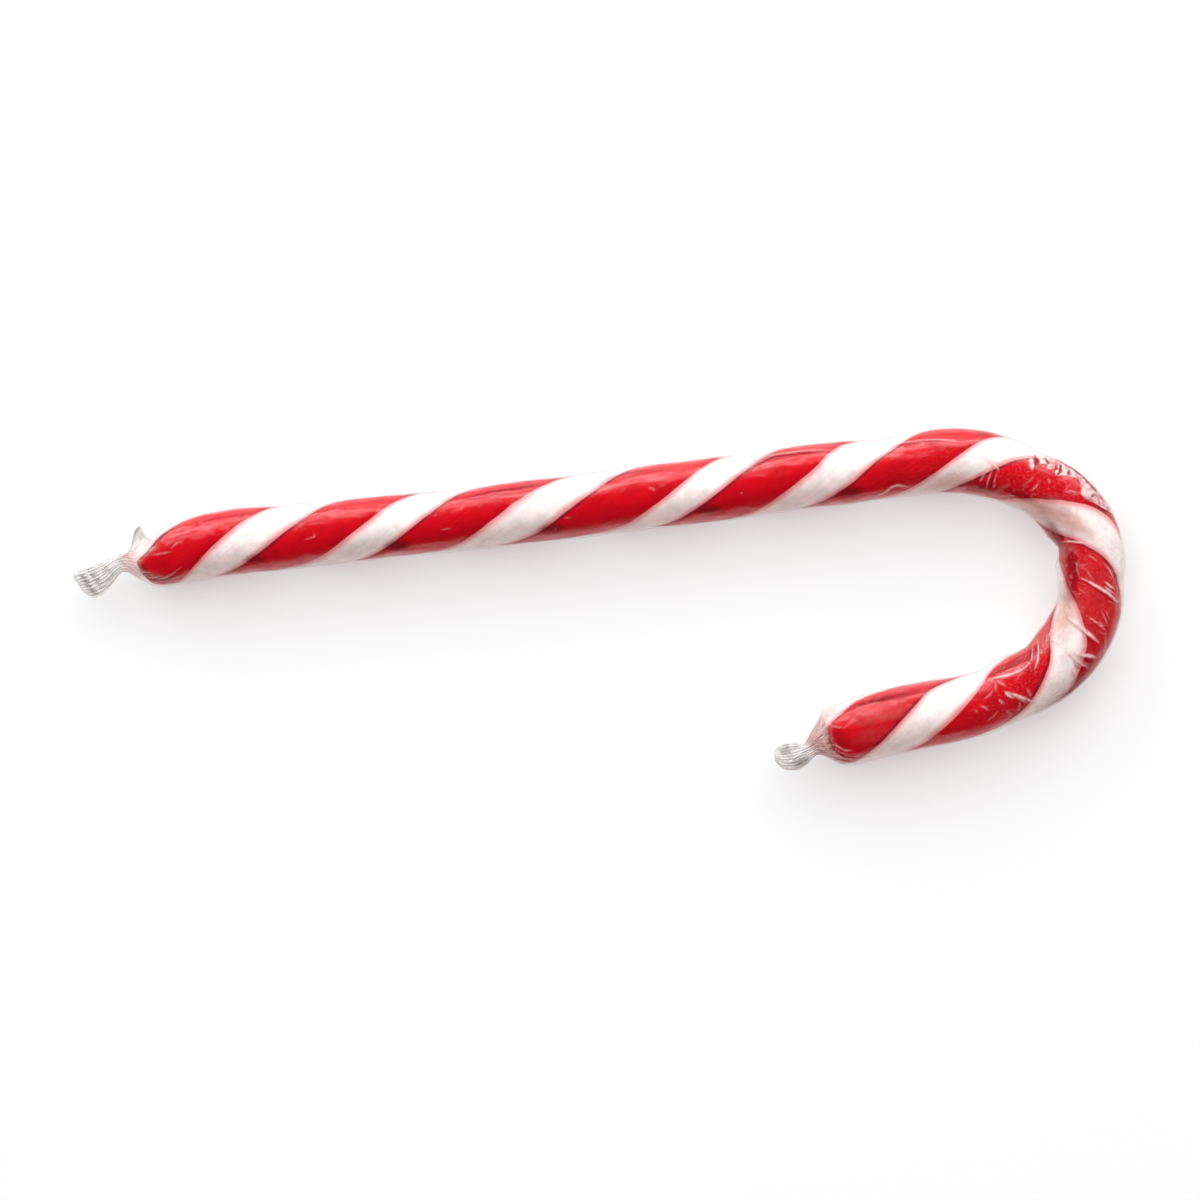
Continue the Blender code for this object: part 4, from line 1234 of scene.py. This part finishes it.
class CandySettings(bpy.types.PropertyGroup):
    """Sizes and colours of the stick of candy."""

    red: colour_property("Red", "Colour of the red strands", (0.62, 0.003, 0.012))
    white: colour_property("White", "Colour of the white strands", (0.95, 0.89, 0.862))
    bleed: colour_property("Bleed", "Where the red has run into the white", (0.90, 0.36, 0.37))
    # Painted shade in the groove along the red strands' edges.
    groove_shade: colour_property("Edge line", "Line along the red strands", (0.28, 0.006, 0.018))
    # Painted shade, with the dull film's look, on the lower side of the bend.
    shade_and_dull_tint: colour_property("Dull tint", "Tint of the sugar's dull bands", (0.74, 0.48, 0.41))
    red_radius: length_property("Red radius", "Over a red strand's middle", 4.60 * MM, 0.001, 0.02)
    white_radius: length_property("White radius", "Over a white strand", 4.45 * MM, 0.001, 0.02)
    groove_depth: length_property("Groove depth", "Between strands", 0.08 * MM, 0.0, 0.001)
    depth: amount_property("Depth", "How far light spreads inside the sugar, as a share", 0.6, 1.0)
    mottle: amount_property("Mottle", "Strength of the soft blotches", 0.45, 1.0)
    streaks: amount_property("Streaks", "Strength of the pulled streaks", 0.28, 1.0)


class FilmSettings(bpy.types.PropertyGroup):
    """Sizes and colours of the film."""

    film_radius: length_property("Film radius", "Along the shaft", FILM_RADIUS * MM, 0.001, 0.02)
    crease_height: amount_property("Crease height", "How far creases stand out", 1.0, 3.0)
    shine: amount_property("Shine", "Reflection of both faces of the film", 0.8, 4.0)
    rim_tone: amount_property("Rim", "How much the film darkens seen edge on", 0.55, 1.0)
    rim_tint: colour_property("Rim tint", "Colour of the film seen edge on", (0.62, 0.50, 0.49))
    # A crease's whitening over candy, partly painted highlight.
    crease_and_highlight_tint: colour_property("Crease", "Colour of a crease over candy", (0.97, 0.62, 0.61))
    haze_tint: colour_property("Haze", "Colour of the cloudy patches", (0.95, 0.77, 0.76))
    # The painted pink reflection of the red candy in the film near it, and painted shade in two
    # bands inside the bend.
    collar_reflection_tint: colour_property("Collar", "Colour of bunched film near candy", (0.72, 0.40, 0.37))
    bunched_tint: colour_property("Bunched film", "In the twisted ends", (0.80, 0.785, 0.765))
    # Painted shade in folds and patches over the candy.
    painted_shade_tint: colour_property("Fold", "Colour of a dark fold over candy", (0.18, 0.010, 0.021))


class StageSettings(bpy.types.PropertyGroup):
    """Floor, lights and camera."""

    floor_size: length_property("Floor size", "Side of the square floor", 4.0, 0.5, 20.0)
    floor_colour: colour_property("Floor colour", "Colour of the floor", (0.43, 0.445, 0.447))
    floor_glow: amount_property("Floor glow", "Light that comes up through the floor", 0.50)
    key_light: amount_property("Key light", "Brightness of the overhead panel", 2.62)
    side_card: amount_property("Side card", "Brightness of the white card", 2.0)
    low_strip: amount_property("Low strip", "Brightness of the strip seen in the film", 3.2)
    warm_fill: amount_property("Warm fill", "Brightness of the low warm panel", 1.9)
    room_light: amount_property("Room light", "Brightness of the room", 0.08)
    room_gloss: amount_property("Room reflection", "Brightness of the room in gloss", 0.012)
    camera_height: length_property("Camera height", "Distance above the cane", 0.8, 0.1, 5.0)
    view_width: length_property("View width", "Width in the picture", 170.5 * MM, 0.01, 2.0)
    camera_turn: FloatProperty(
        name="Camera turn", description="Turn of the picture", default=VIEW_TURN, subtype="ANGLE"
    )


# --- operators, panel and registration ---


class CANDYCANE_OT_candy(bpy.types.Operator):
    """Make the twisted stick of boiled sugar"""

    bl_idname = "candycane.make_candy"
    bl_label = "Candy stick"

    def execute(self, context):
        settings = context.scene.candy_settings
        candy = make_candy_mesh(settings)
        candy.data.materials.append(sugar_material(settings))
        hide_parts("candy_cane")
        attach(candy, "root")
        return {"FINISHED"}


class CANDYCANE_OT_film(bpy.types.Operator):
    """Make the clear film, with its bunched ends"""

    bl_idname = "candycane.make_film"
    bl_label = "Clear film"

    def execute(self, context):
        settings = context.scene.film_settings
        film = make_film_mesh(settings)
        film.data.materials.append(film_material(settings))
        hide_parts("film_end_shaft", "film_end_hook")
        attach(film, "root")
        return {"FINISHED"}


class CANDYCANE_OT_stage(bpy.types.Operator):
    """Make the floor, the lights and the camera"""

    bl_idname = "candycane.make_stage"
    bl_label = "Floor, lights and camera"

    def execute(self, context):
        settings = context.scene.stage_settings
        make_floor(settings)
        make_world(settings)
        area_light("key panel", settings.key_light)
        area_light("warm fill", settings.warm_fill).data.color = WARM_LIGHT
        area_light("side card", settings.side_card, in_gloss=True)
        area_light("low strip", settings.low_strip, in_gloss=True).visible_diffuse = False
        make_camera(settings)
        context.scene.view_settings.view_transform = "Standard"
        return {"FINISHED"}


class CANDYCANE_PT_sidebar(bpy.types.Panel):
    """Lists the pieces and their settings"""

    bl_label = "Candy Cane"
    bl_space_type = "VIEW_3D"
    bl_region_type = "UI"
    bl_category = "Candy Cane"

    def draw(self, context):
        scene = context.scene
        rows = (
            (scene.candy_settings, CANDYCANE_OT_candy),
            (scene.film_settings, CANDYCANE_OT_film),
            (scene.stage_settings, CANDYCANE_OT_stage),
        )
        for settings, operator in rows:
            box = self.layout.box()
            for name in settings.__annotations__:
                box.prop(settings, name)
            box.operator(operator.bl_idname)


CLASSES = (
    CandySettings,
    FilmSettings,
    StageSettings,
    CANDYCANE_OT_candy,
    CANDYCANE_OT_film,
    CANDYCANE_OT_stage,
    CANDYCANE_PT_sidebar,
)


def register():
    for cls in CLASSES:
        bpy.utils.register_class(cls)
    bpy.types.Scene.candy_settings = PointerProperty(type=CandySettings)
    bpy.types.Scene.film_settings = PointerProperty(type=FilmSettings)
    bpy.types.Scene.stage_settings = PointerProperty(type=StageSettings)


def unregister():
    del bpy.types.Scene.stage_settings
    del bpy.types.Scene.film_settings
    del bpy.types.Scene.candy_settings
    for cls in reversed(CLASSES):
        bpy.utils.unregister_class(cls)


def main():
    register()
    bpy.ops.candycane.make_candy()
    bpy.ops.candycane.make_film()
    bpy.ops.candycane.make_stage()
    bpy.context.view_layer.update()


if __name__ == "__main__":
    main()
